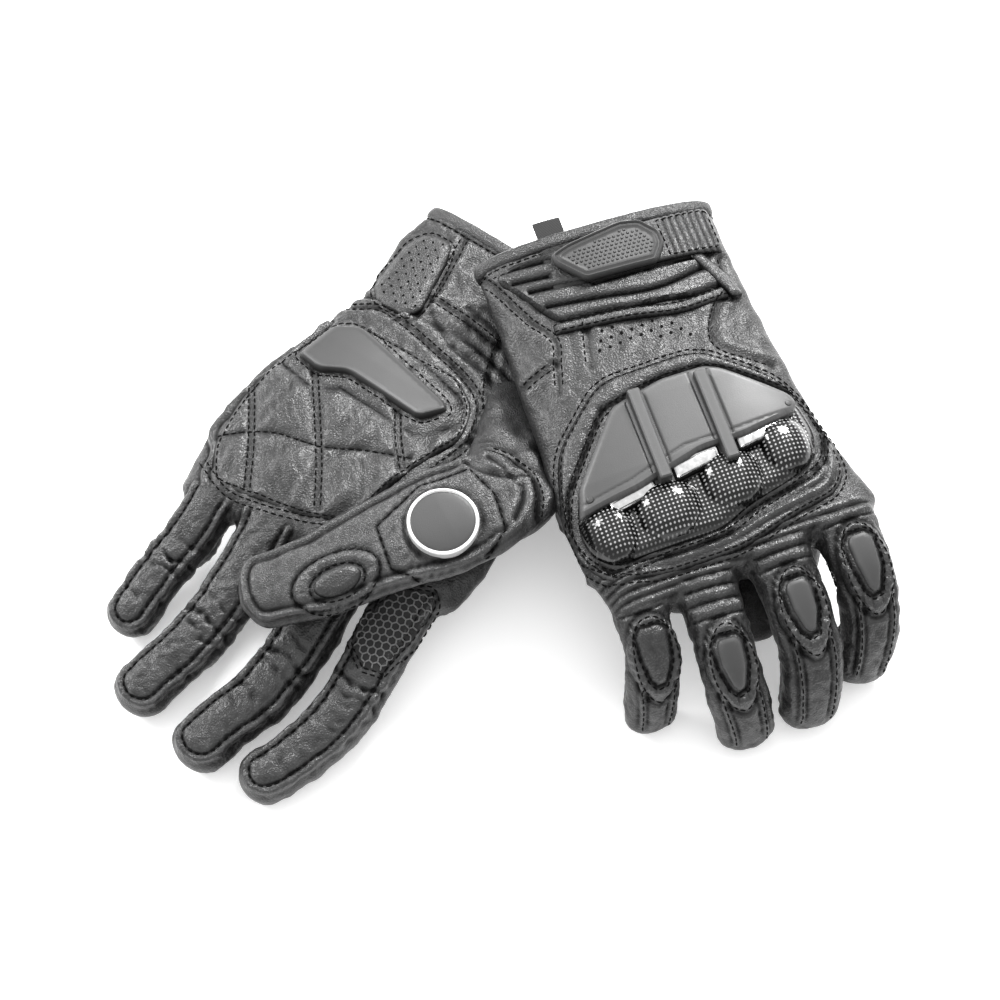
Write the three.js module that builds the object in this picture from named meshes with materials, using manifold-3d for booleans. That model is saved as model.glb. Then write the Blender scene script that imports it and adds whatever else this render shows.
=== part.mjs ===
// A pair of leather riding gloves: the left glove lies palm up with its thumb folded across the palm, and the
// right glove lies on its curled fingers with its knuckle armour on top, its cuff over the left glove's cuff.
//
// Millimetres, +Z up. Each glove is drawn in a hand frame: x towards the little finger, y from the cuff to
// the fingertips, z towards the back of the hand. The left glove is the mirror image of the right one, made
// by a negative z scale on its group, so both gloves share every shape function below.
import * as THREE from "three";
import { mergeVertices } from "three/addons/utils/BufferGeometryUtils.js";
import Module from "manifold-3d";

const wasm = await Module();
wasm.setup();

// ---------------------------------------------------------------- driving dimensions

const LEATHER = 2.0; // wall thickness of shells and finger stalls, lining included
const GAP = 0.3; // clearance between pieces that touch
const SHELL_POWER = 2.5; // superellipse power of the hand section
const FINGER_POWER = 2.3; // superellipse power of a finger section
const CUFF_Y = 0; // cuff edge
const WEB_Y = 151; // front edge of the hand on its centre line, where the finger stalls start
const WEB_SLANT = 0.16; // the front edge lies further forward towards the little finger
const KNUCKLE_Y = 104; // the sections are square to the hand up to here, and slant towards the front edge
const REACH = 90; // half size of the cutting prisms

// How each glove lies: its turn in plan, the place of its cuff centre, and the height of its hand frame.
const LAY = {
  left: { turn: 144, x: 11.1, y: 98.2, z: 23.33, mirror: -1 },
  right: { turn: 198, x: 36.6, y: 97, z: 42, mirror: 1 },
};

// Stations of the hand section: distance from the cuff, centre, half width and half height.
const HAND = {
  left: [
    { y: 0, x: 1, z: 8.5, a: 44, b: 7.5 },
    { y: 22, x: 2, z: 8, a: 46, b: 7.5 },
    { y: 50, x: -1, z: 6.5, a: 44, b: 8.5 },
    { y: 78, x: -3, z: 3.5, a: 52, b: 10 },
    { y: 104, x: -6, z: 0.5, a: 60, b: 10.5 },
    { y: 128, x: -8, z: 0, a: 61, b: 10.5 },
    { y: WEB_Y, x: -10, z: 0.5, a: 58, b: 9.5 },
  ],
  right: [
    { y: 0, x: 0, z: -4, a: 48, b: 12 },
    { y: 28, x: 0, z: -3.5, a: 48, b: 12 },
    { y: 54, x: 0, z: -2, a: 49, b: 12 },
    { y: 84, x: -1, z: -1, a: 50.5, b: 13 },
    { y: 110, x: -1, z: 0, a: 53, b: 13 },
    { y: 132, x: -4.5, z: 0, a: 54.5, b: 12.5 },
    { y: WEB_Y, x: -10, z: 0, a: 54, b: 10.5 },
  ],
};

// Finger sizes: half width and half height at the base and at the tip, the share of its length where it bends
// in the middle, and how far its knuckle insert lies past the middle of its base stall, if it has one.
const FINGERS = {
  little: { a: [10.2, 10], b: [9, 8], bend: 0.45 },
  ring: { a: [11.6, 11.3], b: [9.6, 8.6], bend: 0.5, insert: 5.6 },
  middle: { a: [12.6, 11.3], b: [10, 8.8], bend: 0.45, insert: 0 },
  index: { a: [12.6, 10.4], b: [10, 8.8], bend: 0.42, insert: -2 },
};

// Centre lines of the finger stalls, from the web to the end of the fingertip.
const FINGER_LINES = {
  left: {
    little: [[33.5, 157, 0.5], [32.5, 170, 3.5], [34, 190, 9], [33, 217, 14.4]],
    ring: [[9, 154, 0.5], [6.5, 173, 4], [6, 199, 9], [10, 221, 13], [12.5, 239, 14]],
    middle: [[-22, 149, 0.5], [-27, 175, 4], [-27.5, 203, 9.5], [-21.5, 225, 13], [-18.5, 243, 13.8]],
    index: [[-50, 144, 0.5], [-54, 171, 4], [-56, 196, 9], [-51, 219, 12.8], [-43, 238, 13.8]],
  },
  right: {
    little: [[35.5, 157, -1], [35, 169, -7], [37, 178, -18], [39, 182.5, -30], [40, 184.5, -41]],
    ring: [[9, 153, 0], [9.5, 171, -4], [9.5, 187, -13], [8, 197, -26], [7.5, 202, -40.6]],
    middle: [[-20, 149, 0], [-21, 171, -4], [-21, 187, -13], [-18.5, 197, -26], [-15.5, 201.5, -40.3]],
    index: [[-48, 144, -1], [-49, 165, -4], [-48, 178, -14], [-44, 187, -27], [-39.5, 191, -40]],
  },
};

const STALL_START = 9; // free length between the web and a stall, where the glove bends at the knuckle
const TIP_ROUND = 9; // length of a fingertip's rounded end
const JOINT_GAP = 5.2; // distance from the bend to the end of each stall

// Thumb centre line from its root to its tip, with its half width and half height at four stations.
const THUMB_LINES = {
  left: [[-60, 97, -20.8], [-50, 118, -21.8], [-37, 141, -22], [-24, 165, -20.8], [-6, 188, -18.8]],
  right: [[-36, 88, -27.5], [-36, 111, -28], [-29, 133, -28.5], [-16, 151, -29], [2, 162, -29]],
};
const THUMB_A = [19, 22, 18.5, 16, 13.5];
const THUMB_B = [6.5, 7.4, 7.4, 7.2, 7];

// Offsets of the layered pieces from the hand's outer surface.
const LAYERS = {
  pad: [GAP, 2.4],
  slider: [2.7, 5.2],
  loop: [GAP, 1.1],
  hook: [1.4, 2.2],
  band: [2.5, 4.3],
  tab: [4.6, 7],
  cap: 4.2,
  vents: [4.5, 6.2],
  plate: [7, 9.6],
};

const RIB_START = 27.5; // where the wrist ribs start, and their pitch
const RIB_PITCH = 7;
const RIBS = 3;

const GUARD_HEIGHT = 12.5; // top of the guard's two ridges above the back of the hand

const COLOURS = {
  leather: [0x2b2b2d, 0.55, 0],
  quilt: [0x29292b, 0.6, 0],
  tpu: [0x4a4a4c, 0.6, 0],
  carbon: [0x151517, 0.2, 0.3],
  foil: [0xc8c8cc, 0.2, 0.9],
  hook: [0x1c1c1e, 0.9, 0],
  white: [0xe8e8e8, 0.5, 0],
};

// ---------------------------------------------------------------- outlines of the layered pieces
// They are anticlockwise, seen with x to the right and y up. The palm has the quilt, slider and heel pad.
const QUILT = [
  [-25, 70], [-12, 62], [40, 66], [48, 93], [50, 115], [46, 140], [36, 154], [0, 146], [-18, 138],
  [-22, 110], [-30, 84],
];
const SLIDER = [
  [-19, 78], [-16, 75.5], [31, 66.5], [41, 72.5], [43.5, 91.5], [32, 93.5], [22, 87.5], [-12, 88],
];
const HEEL = [[18, 46], [24, 20], [27, 13], [38, 13], [43, 22], [42, 46], [36, 52], [22, 52]];
const STRAP = [[-45, 8], [-43, 6], [20, 6], [22, 8], [22, 24], [20, 26], [-43, 26], [-45, 24]];
const TAB = [
  [-22, 14], [-16, 7], [-8, 5.5], [14, 9], [21.5, 11.5], [21, 16], [12, 26.5], [-17, 27], [-22, 20],
];
const SURROUND = [
  [-54, 110], [-46, 88], [-18, 66], [22, 68], [45, 90], [52, 114], [50, 134], [43, 146],
  [22, 150], [-8, 149], [-30, 142], [-47, 138], [-54, 130],
];
const CAP = [
  [-49, 113], [-47, 98], [-20, 86], [20, 90], [44, 110], [48, 124], [46, 134], [40, 141],
  [28, 141], [10, 140.5], [-2, 140], [-14, 134.5], [-32, 129.5], [-45, 123],
];
const PLATE = [
  [-45, 101], [-43, 97], [-22, 80], [-16, 77.5], [1, 78], [22, 83.5], [44, 111], [47, 121.5],
  [39, 120.5], [23, 118.5], [-3.5, 111], [-21, 110], [-42, 105.5],
];
const VENTS = [
  [-40, 103], [-20, 104], [6, 109], [36, 116.5], [36, 124.5], [14, 121], [-15, 115], [-40, 111],
];
const BUMPS = [[38, 131, 9.5], [15, 130, 12], [-11, 125, 11.5], [-35, 114, 9.5]];
const RIDGES = [13, -13];

// ---------------------------------------------------------------- solids

const materials = {};
for (const [name, [color, roughness, metalness]] of Object.entries(COLOURS)) {
  materials[name] = new THREE.MeshStandardMaterial({ name, color, roughness, metalness });
}

// A three.js geometry as a manifold solid, whichever way its faces were wound.
function solid(geometry) {
  const bare = geometry.clone();
  bare.deleteAttribute("normal");
  bare.deleteAttribute("uv");
  const merged = mergeVertices(bare, 1e-4);
  const triVerts = new Uint32Array(merged.index.array);
  const vertProperties = new Float32Array(merged.attributes.position.array);
  const made = new wasm.Manifold(new wasm.Mesh({ numProp: 3, vertProperties, triVerts }));
  if (made.volume() > 0) return made;
  for (let i = 0; i < triVerts.length; i += 3) {
    [triVerts[i + 1], triVerts[i + 2]] = [triVerts[i + 2], triVerts[i + 1]];
  }
  return new wasm.Manifold(new wasm.Mesh({ numProp: 3, vertProperties, triVerts }));
}

function geometryOf(manifold) {
  const mesh = manifold.getMesh();
  const geometry = new THREE.BufferGeometry();
  geometry.setAttribute("position", new THREE.BufferAttribute(new Float32Array(mesh.vertProperties), 3));
  geometry.setIndex(new THREE.BufferAttribute(new Uint32Array(mesh.triVerts), 1));
  geometry.computeVertexNormals();
  return geometry;
}

// The largest separate piece of a manifold, without the specks that a cut can leave.
function largest(manifold) {
  return manifold.decompose().reduce((most, piece) => (piece.volume() > most.volume() ? piece : most));
}

// A closed skin over a row of rings that all have the same number of points.
function loft(rings) {
  const around = rings[0].length;
  const points = rings.flat();
  const faces = [];
  for (let r = 0; r < rings.length - 1; r += 1) {
    for (let i = 0; i < around; i += 1) {
      const j = (i + 1) % around;
      const [p, q] = [r * around + i, r * around + j];
      faces.push(p, q, q + around, p, q + around, p + around);
    }
  }
  const last = (rings.length - 1) * around;
  for (let i = 1; i < around - 1; i += 1) {
    faces.push(0, i + 1, i, last, last + i, last + i + 1);
  }
  const geometry = new THREE.BufferGeometry().setFromPoints(points);
  geometry.setIndex(faces);
  return solid(geometry);
}

function ring(centre, side, up, a, b, power, count) {
  const round = (t) => Math.sign(t) * Math.abs(t) ** (2 / power);
  return Array.from({ length: count }, (_, i) => {
    const angle = (i / count) * 2 * Math.PI;
    return centre
      .clone()
      .addScaledVector(side, a * round(Math.cos(angle)))
      .addScaledVector(up, b * round(Math.sin(angle)));
  });
}

// A prism over a closed outline of [x, y] points, from height z0 to z1.
function prism(outline, z0, z1) {
  const shape = new THREE.Shape(outline.map(([x, y]) => new THREE.Vector2(x, y)));
  const geometry = new THREE.ExtrudeGeometry(shape, { depth: z1 - z0, bevelEnabled: false });
  return solid(geometry.translate(0, 0, z0));
}

function box(size, centre) {
  return solid(new THREE.BoxGeometry(...size).translate(...centre));
}

function rectangle(x0, x1, y0, y1) {
  return [[x0, y0], [x1, y0], [x1, y1], [x0, y1]];
}

// Rectangle with chamfered corners, as an outline.
function chamfered(x0, x1, y0, y1, cut) {
  return [
    [x0 + cut, y0], [x1 - cut, y0], [x1, y0 + cut], [x1, y1 - cut],
    [x1 - cut, y1], [x0 + cut, y1], [x0, y1 - cut], [x0, y0 + cut],
  ];
}

// The outline moved outwards by a distance, each corner along its own bisector. It runs anticlockwise.
function grown(outline, distance) {
  const away = (p, q) => {
    const [dx, dy] = [q[0] - p[0], q[1] - p[1]];
    const size = Math.hypot(dx, dy);
    return [dy / size, -dx / size];
  };
  return outline.map((point, i) => {
    const before = away(outline.at(i - 1), point);
    const after = away(point, outline[(i + 1) % outline.length]);
    const reach = distance / (1 + before[0] * after[0] + before[1] * after[1]);
    return [point[0] + (before[0] + after[0]) * reach, point[1] + (before[1] + after[1]) * reach];
  });
}

function ellipseOutline(cx, cy, rx, ry, count = 10) {
  return Array.from({ length: count }, (_, i) => {
    const angle = (i / count) * 2 * Math.PI;
    return [cx + rx * Math.cos(angle), cy + ry * Math.sin(angle)];
  });
}

// ---------------------------------------------------------------- the hand of one glove

const SIDE = new THREE.Vector3(1, 0, 0);
const UP = new THREE.Vector3(0, 0, 1);

// Hand section at distance y from the cuff, between the stations around it.
function handAt(stations, y) {
  const passed = stations.filter((s) => s.y <= y).length;
  const next = Math.min(Math.max(passed, 1), stations.length - 1);
  const [from, to] = [stations[next - 1], stations[next]];
  const share = (y - from.y) / (to.y - from.y);
  const mix = (key) => from[key] + (to[key] - from[key]) * share;
  return { y, x: mix("x"), z: mix("z"), a: mix("a"), b: mix("b") };
}

// The hand's outer form grown by offset, from y0 to y1.
function handForm(stations, offset, y0 = CUFF_Y, y1 = WEB_Y) {
  const inner = stations.filter((s) => s.y > y0 + 0.5 && s.y < y1 - 0.5);
  const rows = [handAt(stations, y0), ...inner, handAt(stations, y1)];
  const rings = rows.map((s) => {
    const centre = new THREE.Vector3(s.x, s.y, s.z);
    const slant = WEB_SLANT * Math.min(Math.max((s.y - KNUCKLE_Y) / (WEB_Y - KNUCKLE_Y), 0), 1);
    const points = ring(centre, SIDE, UP, s.a + offset, s.b + offset, SHELL_POWER, 20);
    for (const point of points) point.y += slant * point.x;
    return points;
  });
  return loft(rings);
}

// Everything on one side of the hand's mid surface: sign 1 is the back of the hand, -1 the palm.
function halfSpace(stations, sign, gap) {
  const edge = stations.map((s) => [s.y, s.z + sign * gap]);
  edge[0][0] -= 30;
  edge[edge.length - 1][0] += 30;
  const far = sign * REACH;
  const outline = [...edge, [edge[edge.length - 1][0], far], [edge[0][0], far]];
  const shape = new THREE.Shape(outline.map(([y, z]) => new THREE.Vector2(y, z)));
  const geometry = new THREE.ExtrudeGeometry(shape, { depth: 2 * REACH, bevelEnabled: false });
  // The outline's (y, z) plane is turned so that the extrusion runs along x.
  geometry.applyMatrix4(new THREE.Matrix4().makeBasis(
    new THREE.Vector3(0, 1, 0), new THREE.Vector3(0, 0, 1), new THREE.Vector3(1, 0, 0),
  ));
  return solid(geometry.translate(-REACH, 0, 0));
}

// A layer of the hand's surface under an outline: sign 1 on the back, -1 on the palm.
function skinPatch(stations, outline, [low, high], sign) {
  const layer = handForm(stations, high).subtract(handForm(stations, low, CUFF_Y - 9, WEB_Y + 9));
  return layer.intersect(prism(outline, -REACH, REACH)).intersect(halfSpace(stations, sign, 0.5));
}

// ---------------------------------------------------------------- fingers and thumb

function curveOf(points) {
  return new THREE.CatmullRomCurve3(points.map((p) => new THREE.Vector3(...p)));
}

// The curve's place and directions at distance s along it, carried straight on past its ends.
function frameAt(curve, s) {
  const length = curve.getLength();
  const within = Math.min(Math.max(s, 0), length);
  const tangent = curve.getTangentAt(within / length);
  const side = SIDE.clone().addScaledVector(tangent, -SIDE.dot(tangent)).normalize();
  const up = new THREE.Vector3().crossVectors(side, tangent);
  const point = curve.getPointAt(within / length).addScaledVector(tangent, s - within);
  return { point, tangent, side, up };
}

// A stall along a curve from distance from to distance to. Its size follows sizeAt(share), and a tip is
// rounded off over its last stretch.
function stallForm(curve, { from, to, sizeAt, offset = 0, rounded = false, count = 10 }) {
  const length = curve.getLength();
  const body = rounded ? to - TIP_ROUND : to;
  const straight = [0, 0.5, 1].map((share) => from + (body - from) * share);
  const stops = rounded ? [...straight, to - TIP_ROUND * 0.4, to] : straight;
  const rings = stops.map((s) => {
    const { point, side, up } = frameAt(curve, s);
    const { a, b } = sizeAt(s / length);
    const fromEnd = (to - s) / TIP_ROUND;
    const dome = rounded && fromEnd < 1 ? Math.max(Math.sqrt(1 - (1 - fromEnd) ** 2), 0.4) : 1;
    return ring(point, side, up, (a + offset) * dome, (b + offset) * dome, FINGER_POWER, count);
  });
  return loft(rings);
}

// A stall's wall: the stall less a cavity that is open at its start, and at its end unless that is rounded.
function stallWall(curve, stall) {
  const cavity = {
    ...stall,
    offset: -LEATHER,
    from: stall.from - 0.5,
    to: stall.rounded ? stall.to - LEATHER : stall.to + 0.5,
  };
  return stallForm(curve, stall).subtract(stallForm(curve, cavity));
}

function fingerSize(finger) {
  const { a, b } = FINGERS[finger];
  return (share) => ({ a: a[0] + (a[1] - a[0]) * share, b: b[0] + (b[1] - b[0]) * share });
}

function thumbSize(share) {
  const place = Math.min(Math.max(share, 0), 0.999) * (THUMB_A.length - 1);
  const from = Math.floor(place);
  const mix = (list) => list[from] + (list[from + 1] - list[from]) * (place - from);
  return { a: mix(THUMB_A), b: mix(THUMB_B) };
}

// A layer on a stall's back (sign 1) or palm side (sign -1), under an ellipse at distance s. The layer has
// the same rings as the stall, so its facets run parallel to the stall's. It lies across mm to the side.
function stallPatch(curve, stall, s, [rx, ry], [low, high], sign, across = 0) {
  const outside = stallForm(curve, { ...stall, offset: high });
  const layer = outside.subtract(stallForm(curve, { ...stall, offset: low }));
  const { point, side, up, tangent } = frameAt(curve, s);
  const basis = new THREE.Matrix4().makeBasis(
    side,
    tangent.clone().multiplyScalar(sign),
    up.clone().multiplyScalar(sign),
  );
  basis.setPosition(point.addScaledVector(side, across));
  const plug = geometryOf(prism(ellipseOutline(0, 0, rx, ry), 1, 30)).applyMatrix4(basis);
  return largest(layer.intersect(solid(plug)));
}

// ---------------------------------------------------------------- pieces of one glove

function handShells(add, stations) {
  const inside = handForm(stations, -LEATHER, CUFF_Y - 9, WEB_Y + 9);
  const wall = handForm(stations, 0, CUFF_Y + 4 + GAP, WEB_Y - 0.3).subtract(inside);
  add("palm_shell", wall.intersect(halfSpace(stations, -1, GAP / 2)), "leather");
  add("back_shell", wall.intersect(halfSpace(stations, 1, GAP / 2)), "leather");
  const hem = handForm(stations, 0.8, CUFF_Y, CUFF_Y + 4).subtract(
    handForm(stations, -LEATHER - 0.4, CUFF_Y - 9, WEB_Y),
  );
  add("cuff_binding", hem, "leather");
}

function sizeLabel(add, stations) {
  const { z, b } = handAt(stations, 0);
  const height = z + b - LEATHER - 2.2;
  add("size_label", box([11, 21, 0.8], [16.5, 1.5, height]), "hook");
}

function palmPieces(add, stations) {
  add("palm_quilt", skinPatch(stations, QUILT, LAYERS.pad, -1), "quilt");
  add("palm_slider", skinPatch(stations, SLIDER, LAYERS.slider, -1), "tpu");
  add("heel_pad", skinPatch(stations, HEEL, LAYERS.pad, -1), "leather");
}

function wristPieces(add, stations) {
  const end = RIB_START + RIBS * RIB_PITCH;
  const backing = skinPatch(stations, rectangle(-36, 36, RIB_START, end), LAYERS.loop, 1);
  const ribs = Array.from({ length: RIBS }, (_, i) => {
    const y = RIB_START + i * RIB_PITCH;
    return skinPatch(stations, rectangle(-36, 36, y + 0.8, y + RIB_PITCH - 0.8), LAYERS.pad, 1);
  });
  add("wrist_ribs", ribs.reduce((made, rib) => made.add(rib), backing), "leather");
  add("loop_patch", skinPatch(stations, chamfered(-34, 24, 6, 26, 2), LAYERS.loop, 1), "hook");
}

function strapPieces(add, stations) {
  add("strap_hook", skinPatch(stations, chamfered(-12, 18, 8, 25, 2), LAYERS.hook, 1), "hook");
  add("strap_band", skinPatch(stations, STRAP, LAYERS.band, 1), "leather");
  add("strap_tab", skinPatch(stations, TAB, LAYERS.tab, 1), "tpu");
}

// Knuckle armour: a leather surround, a cap with four bumps, a strip of bright vents, and a guard plate with
// two ridges over them.
function knucklePieces(add, stations) {
  const { z, b } = handAt(stations, 112);
  const top = z + b + GUARD_HEIGHT;
  const above = (offset) => handForm(stations, offset, CUFF_Y - 9, WEB_Y + 9);
  const over = (outline, offset) =>
    prism(outline, z, REACH).subtract(above(offset)).intersect(halfSpace(stations, 1, 0.5));
  const ridgeOutline = (x) => [[x - 2.5, 81], [x + 2.5, 81], [x + 2.5, 119], [x - 2.5, 119]];
  const ridge = (x) => prism(ridgeOutline(x), z, top).subtract(above(LAYERS.plate[0]));
  const bumps = BUMPS.map(([x, y, r]) =>
    solid(new THREE.SphereGeometry(1, 10, 8).scale(r, r + 5, 10).translate(x, y, z + b - 1)),
  );
  const base = skinPatch(stations, CAP, [GAP, LAYERS.cap], 1);
  const cap = bumps
    .reduce((made, bump) => made.add(bump), base)
    .intersect(over(CAP, GAP))
    .subtract(over(grown(PLATE, GAP), LAYERS.plate[0] - GAP))
    .subtract(over(grown(VENTS, GAP), LAYERS.vents[0] - GAP));
  const clearCap = RIDGES.reduce(
    (made, x) => made.subtract(over(grown(ridgeOutline(x), GAP), LAYERS.plate[0] - GAP)),
    cap,
  );
  const plate = skinPatch(stations, PLATE, LAYERS.plate, 1);
  const surround = skinPatch(stations, SURROUND, LAYERS.pad, 1).subtract(over(grown(CAP, GAP), 0));
  add("knuckle_surround", surround, "leather");
  add("knuckle_cap", clearCap, "carbon");
  add("knuckle_guard", RIDGES.reduce((made, x) => made.add(ridge(x)), plate), "tpu");
  add("knuckle_vents", skinPatch(stations, VENTS, LAYERS.vents, 1), "foil");
}

function fingerPieces(add, lines) {
  for (const finger of Object.keys(FINGERS)) {
    const curve = curveOf(lines[finger]);
    const length = curve.getLength();
    const sizeAt = fingerSize(finger);
    const { bend, insert } = FINGERS[finger];
    const middle = length * bend;
    const base = { from: STALL_START, to: middle - JOINT_GAP, sizeAt };
    const tip = { from: middle + JOINT_GAP, to: length, sizeAt, rounded: true };
    add(`${finger}_base`, stallWall(curve, base), "leather");
    add(`${finger}_tip`, stallWall(curve, tip), "leather");
    if (insert !== undefined) {
      const place = (base.from + base.to) / 2 + insert;
      add(`${finger}_insert`, stallPatch(curve, base, place, [5, 8.5], [GAP, 2.6], 1), "tpu");
    }
  }
}

function thumbPieces(add, line) {
  const curve = curveOf(line);
  const length = curve.getLength();
  const stall = { from: 0, to: length, sizeAt: thumbSize, rounded: true, count: 12 };
  add("thumb_shell", stallWall(curve, stall), "leather");
  add("thumb_badge", stallPatch(curve, stall, length * 0.28, [15, 15], [GAP, 2], -1, -4), "tpu");
  add("thumb_insert", stallPatch(curve, stall, length * 0.67, [5, 8.5], [2 * GAP, 2.6], -1, -8), "leather");
}

// ---------------------------------------------------------------- the pair

function glove(hand) {
  const group = new THREE.Group();
  const add = (name, manifold, material) => {
    const mesh = new THREE.Mesh(geometryOf(manifold), materials[material]);
    mesh.name = `${hand}_${name}`;
    group.add(mesh);
  };
  const stations = HAND[hand];
  handShells(add, stations);
  sizeLabel(add, stations);
  palmPieces(add, stations);
  wristPieces(add, stations);
  strapPieces(add, stations);
  knucklePieces(add, stations);
  fingerPieces(add, FINGER_LINES[hand]);
  thumbPieces(add, THUMB_LINES[hand]);
  const { turn, x, y, z, mirror } = LAY[hand];
  group.scale.z = mirror;
  group.rotation.z = THREE.MathUtils.degToRad(turn);
  group.position.set(x, y, z);
  return group;
}

const gloves = new THREE.Group();
gloves.add(glove("left"), glove("right"));

export default gloves;
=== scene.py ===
"""The looks of a pair of leather riding gloves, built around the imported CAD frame.

Both gloves are drawn in one hand frame, in millimetres: x towards the little finger, y from the cuff to the
fingertips, z towards the back of the hand. place() turns that into the row frame, in metres. The left glove
is the mirror image of the right one, and lies palm up. Its looks are seen from the palm, the right glove's
from the back, and both gloves get every feature on both sides.
"""

import math

import bpy
import numpy as np
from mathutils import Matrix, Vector
from mathutils.bvhtree import BVHTree
from mathutils.geometry import delaunay_2d_cdt


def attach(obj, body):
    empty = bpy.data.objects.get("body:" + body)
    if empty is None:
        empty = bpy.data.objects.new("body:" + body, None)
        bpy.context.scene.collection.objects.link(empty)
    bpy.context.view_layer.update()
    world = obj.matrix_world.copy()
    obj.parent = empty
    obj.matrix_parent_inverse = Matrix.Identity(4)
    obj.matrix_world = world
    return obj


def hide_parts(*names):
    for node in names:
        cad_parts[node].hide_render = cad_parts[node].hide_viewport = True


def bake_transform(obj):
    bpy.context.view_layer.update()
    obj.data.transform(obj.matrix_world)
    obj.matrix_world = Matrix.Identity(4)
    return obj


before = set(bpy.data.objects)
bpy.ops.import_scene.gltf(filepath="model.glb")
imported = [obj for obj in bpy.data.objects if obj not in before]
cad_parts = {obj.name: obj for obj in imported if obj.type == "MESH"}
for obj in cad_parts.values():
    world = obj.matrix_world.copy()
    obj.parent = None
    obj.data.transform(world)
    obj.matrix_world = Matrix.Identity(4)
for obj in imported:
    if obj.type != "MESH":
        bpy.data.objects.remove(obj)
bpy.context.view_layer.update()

# ------------------------------ the form of the gloves, in mm, as in the CAD source

MM = 0.001
PALM, BACK = -1, 1
LEATHER = 2.0
SHELL_POWER = 2.5
FINGER_POWER = 2.3
WEB_Y = 151
WEB_SLANT = 0.16
KNUCKLE_Y = 104
TIP_ROUND = 9
KNUCKLE_S = 4.5  # where a finger turns at the knuckle, along its centre line
LAY = {
    "left": {"turn": 144, "x": 11.1, "y": 98.2, "z": 23.33, "mirror": -1},
    "right": {"turn": 198, "x": 36.6, "y": 97, "z": 42, "mirror": 1},
}
# Stations of the hand section: distance from the cuff, centre x and z, half width and half height.
HAND = {
    "left": [
        (0, 1, 8.5, 44, 7.5), (22, 2, 8, 46, 7.5), (50, -1, 6.5, 44, 8.5), (78, -3, 3.5, 52, 10),
        (104, -6, 0.5, 60, 10.5), (128, -8, 0, 61, 10.5), (151, -10, 0.5, 58, 9.5),
    ],
    "right": [
        (0, 0, -4, 48, 12), (28, 0, -3.5, 48, 12), (54, 0, -2, 49, 12), (84, -1, -1, 50.5, 13),
        (110, -1, 0, 53, 13), (132, -4.5, 0, 54.5, 12.5), (151, -10, 0, 54, 10.5),
    ],
}
# Half width and half height at the base and the tip, share of the length where it bends, place of the insert.
FINGERS = {
    "little": {"a": (10.2, 10), "b": (9, 8), "bend": 0.45, "insert": None},
    "ring": {"a": (11.6, 11.3), "b": (9.6, 8.6), "bend": 0.5, "insert": 5.6},
    "middle": {"a": (12.6, 11.3), "b": (10, 8.8), "bend": 0.45, "insert": 0},
    "index": {"a": (12.6, 10.4), "b": (10, 8.8), "bend": 0.42, "insert": -2},
}
FINGER_LINES = {
    "left": {
        "little": [(33.5, 157, 0.5), (32.5, 170, 3.5), (34, 190, 9), (33, 217, 14.4)],
        "ring": [(9, 154, 0.5), (6.5, 173, 4), (6, 199, 9), (10, 221, 13), (12.5, 239, 14)],
        "middle": [(-22, 149, 0.5), (-27, 175, 4), (-27.5, 203, 9.5), (-21.5, 225, 13), (-18.5, 243, 13.8)],
        "index": [(-50, 144, 0.5), (-54, 171, 4), (-56, 196, 9), (-51, 219, 12.8), (-43, 238, 13.8)],
    },
    "right": {
        "little": [(35.5, 157, -1), (35, 169, -7), (37, 178, -18), (39, 182.5, -30), (40, 184.5, -41)],
        "ring": [(9, 153, 0), (9.5, 171, -4), (9.5, 187, -13), (8, 197, -26), (7.5, 202, -40.6)],
        "middle": [(-20, 149, 0), (-21, 171, -4), (-21, 187, -13), (-18.5, 197, -26), (-15.5, 201.5, -40.3)],
        "index": [(-48, 144, -1), (-49, 165, -4), (-48, 178, -14), (-44, 187, -27), (-39.5, 191, -40)],
    },
}
THUMB_LINES = {
    "left": [(-60, 97, -20.8), (-50, 118, -21.8), (-37, 141, -22), (-24, 165, -20.8), (-6, 188, -18.8)],
    "right": [(-36, 88, -27.5), (-36, 111, -28), (-29, 133, -28.5), (-16, 151, -29), (2, 162, -29)],
}
THUMB_A = [19, 22, 18.5, 16, 13.5]
THUMB_B = [6.5, 7.4, 7.4, 7.2, 7]
# Outlines of the layered pieces, in the hand frame. The strap is cut off under its tab, and the armour's
# outlines follow its finer shapes, so these differ a little from the plain CAD solids.
QUILT = [
    (-25, 70), (-12, 62), (40, 66), (48, 93), (50, 115), (46, 140), (36, 154), (0, 146), (-18, 138),
    (-22, 110), (-30, 84),
]
SLIDER = [(-19, 78), (-16, 75.5), (31, 66.5), (41, 72.5), (43.5, 91.5), (32, 93.5), (22, 87.5), (-12, 88)]
HEEL = [(18, 46), (24, 20), (27, 13), (38, 13), (43, 22), (42, 46), (36, 52), (22, 52)]
STRAP = [(-45, 8), (-43, 6), (0, 8), (16, 12.5), (17, 16), (8, 25), (0, 26), (-43, 26), (-45, 24)]
TAB = [(-22, 14), (-16, 7), (-8, 5.5), (14, 9), (21.5, 11.5), (21, 16), (12, 26.5), (-17, 27), (-22, 20)]
SURROUND = [
    (-54, 110), (-46, 88), (-18, 66), (22, 68), (45, 90), (52, 114), (50, 134), (43, 146),
    (22, 150), (-8, 149), (-30, 142), (-47, 138), (-54, 130),
]
CAP = [
    (-49, 113), (-47, 98), (-20, 86), (20, 90), (44, 110), (48, 124), (46, 134), (40, 141),
    (28, 141), (10, 140.5), (-2, 140), (-14, 134.5), (-32, 129.5), (-45, 123),
]
ARMOUR = [  # outer edge of the cap and the guard together
    (-50, 113), (-47, 97), (-23, 79), (-16, 76.5), (1, 77), (23, 82.5), (45, 110), (49, 124), (46, 134),
    (40, 141), (28, 141), (10, 140.5), (-2, 140), (-14, 134.5), (-32, 129.5), (-46, 123),
]
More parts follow.
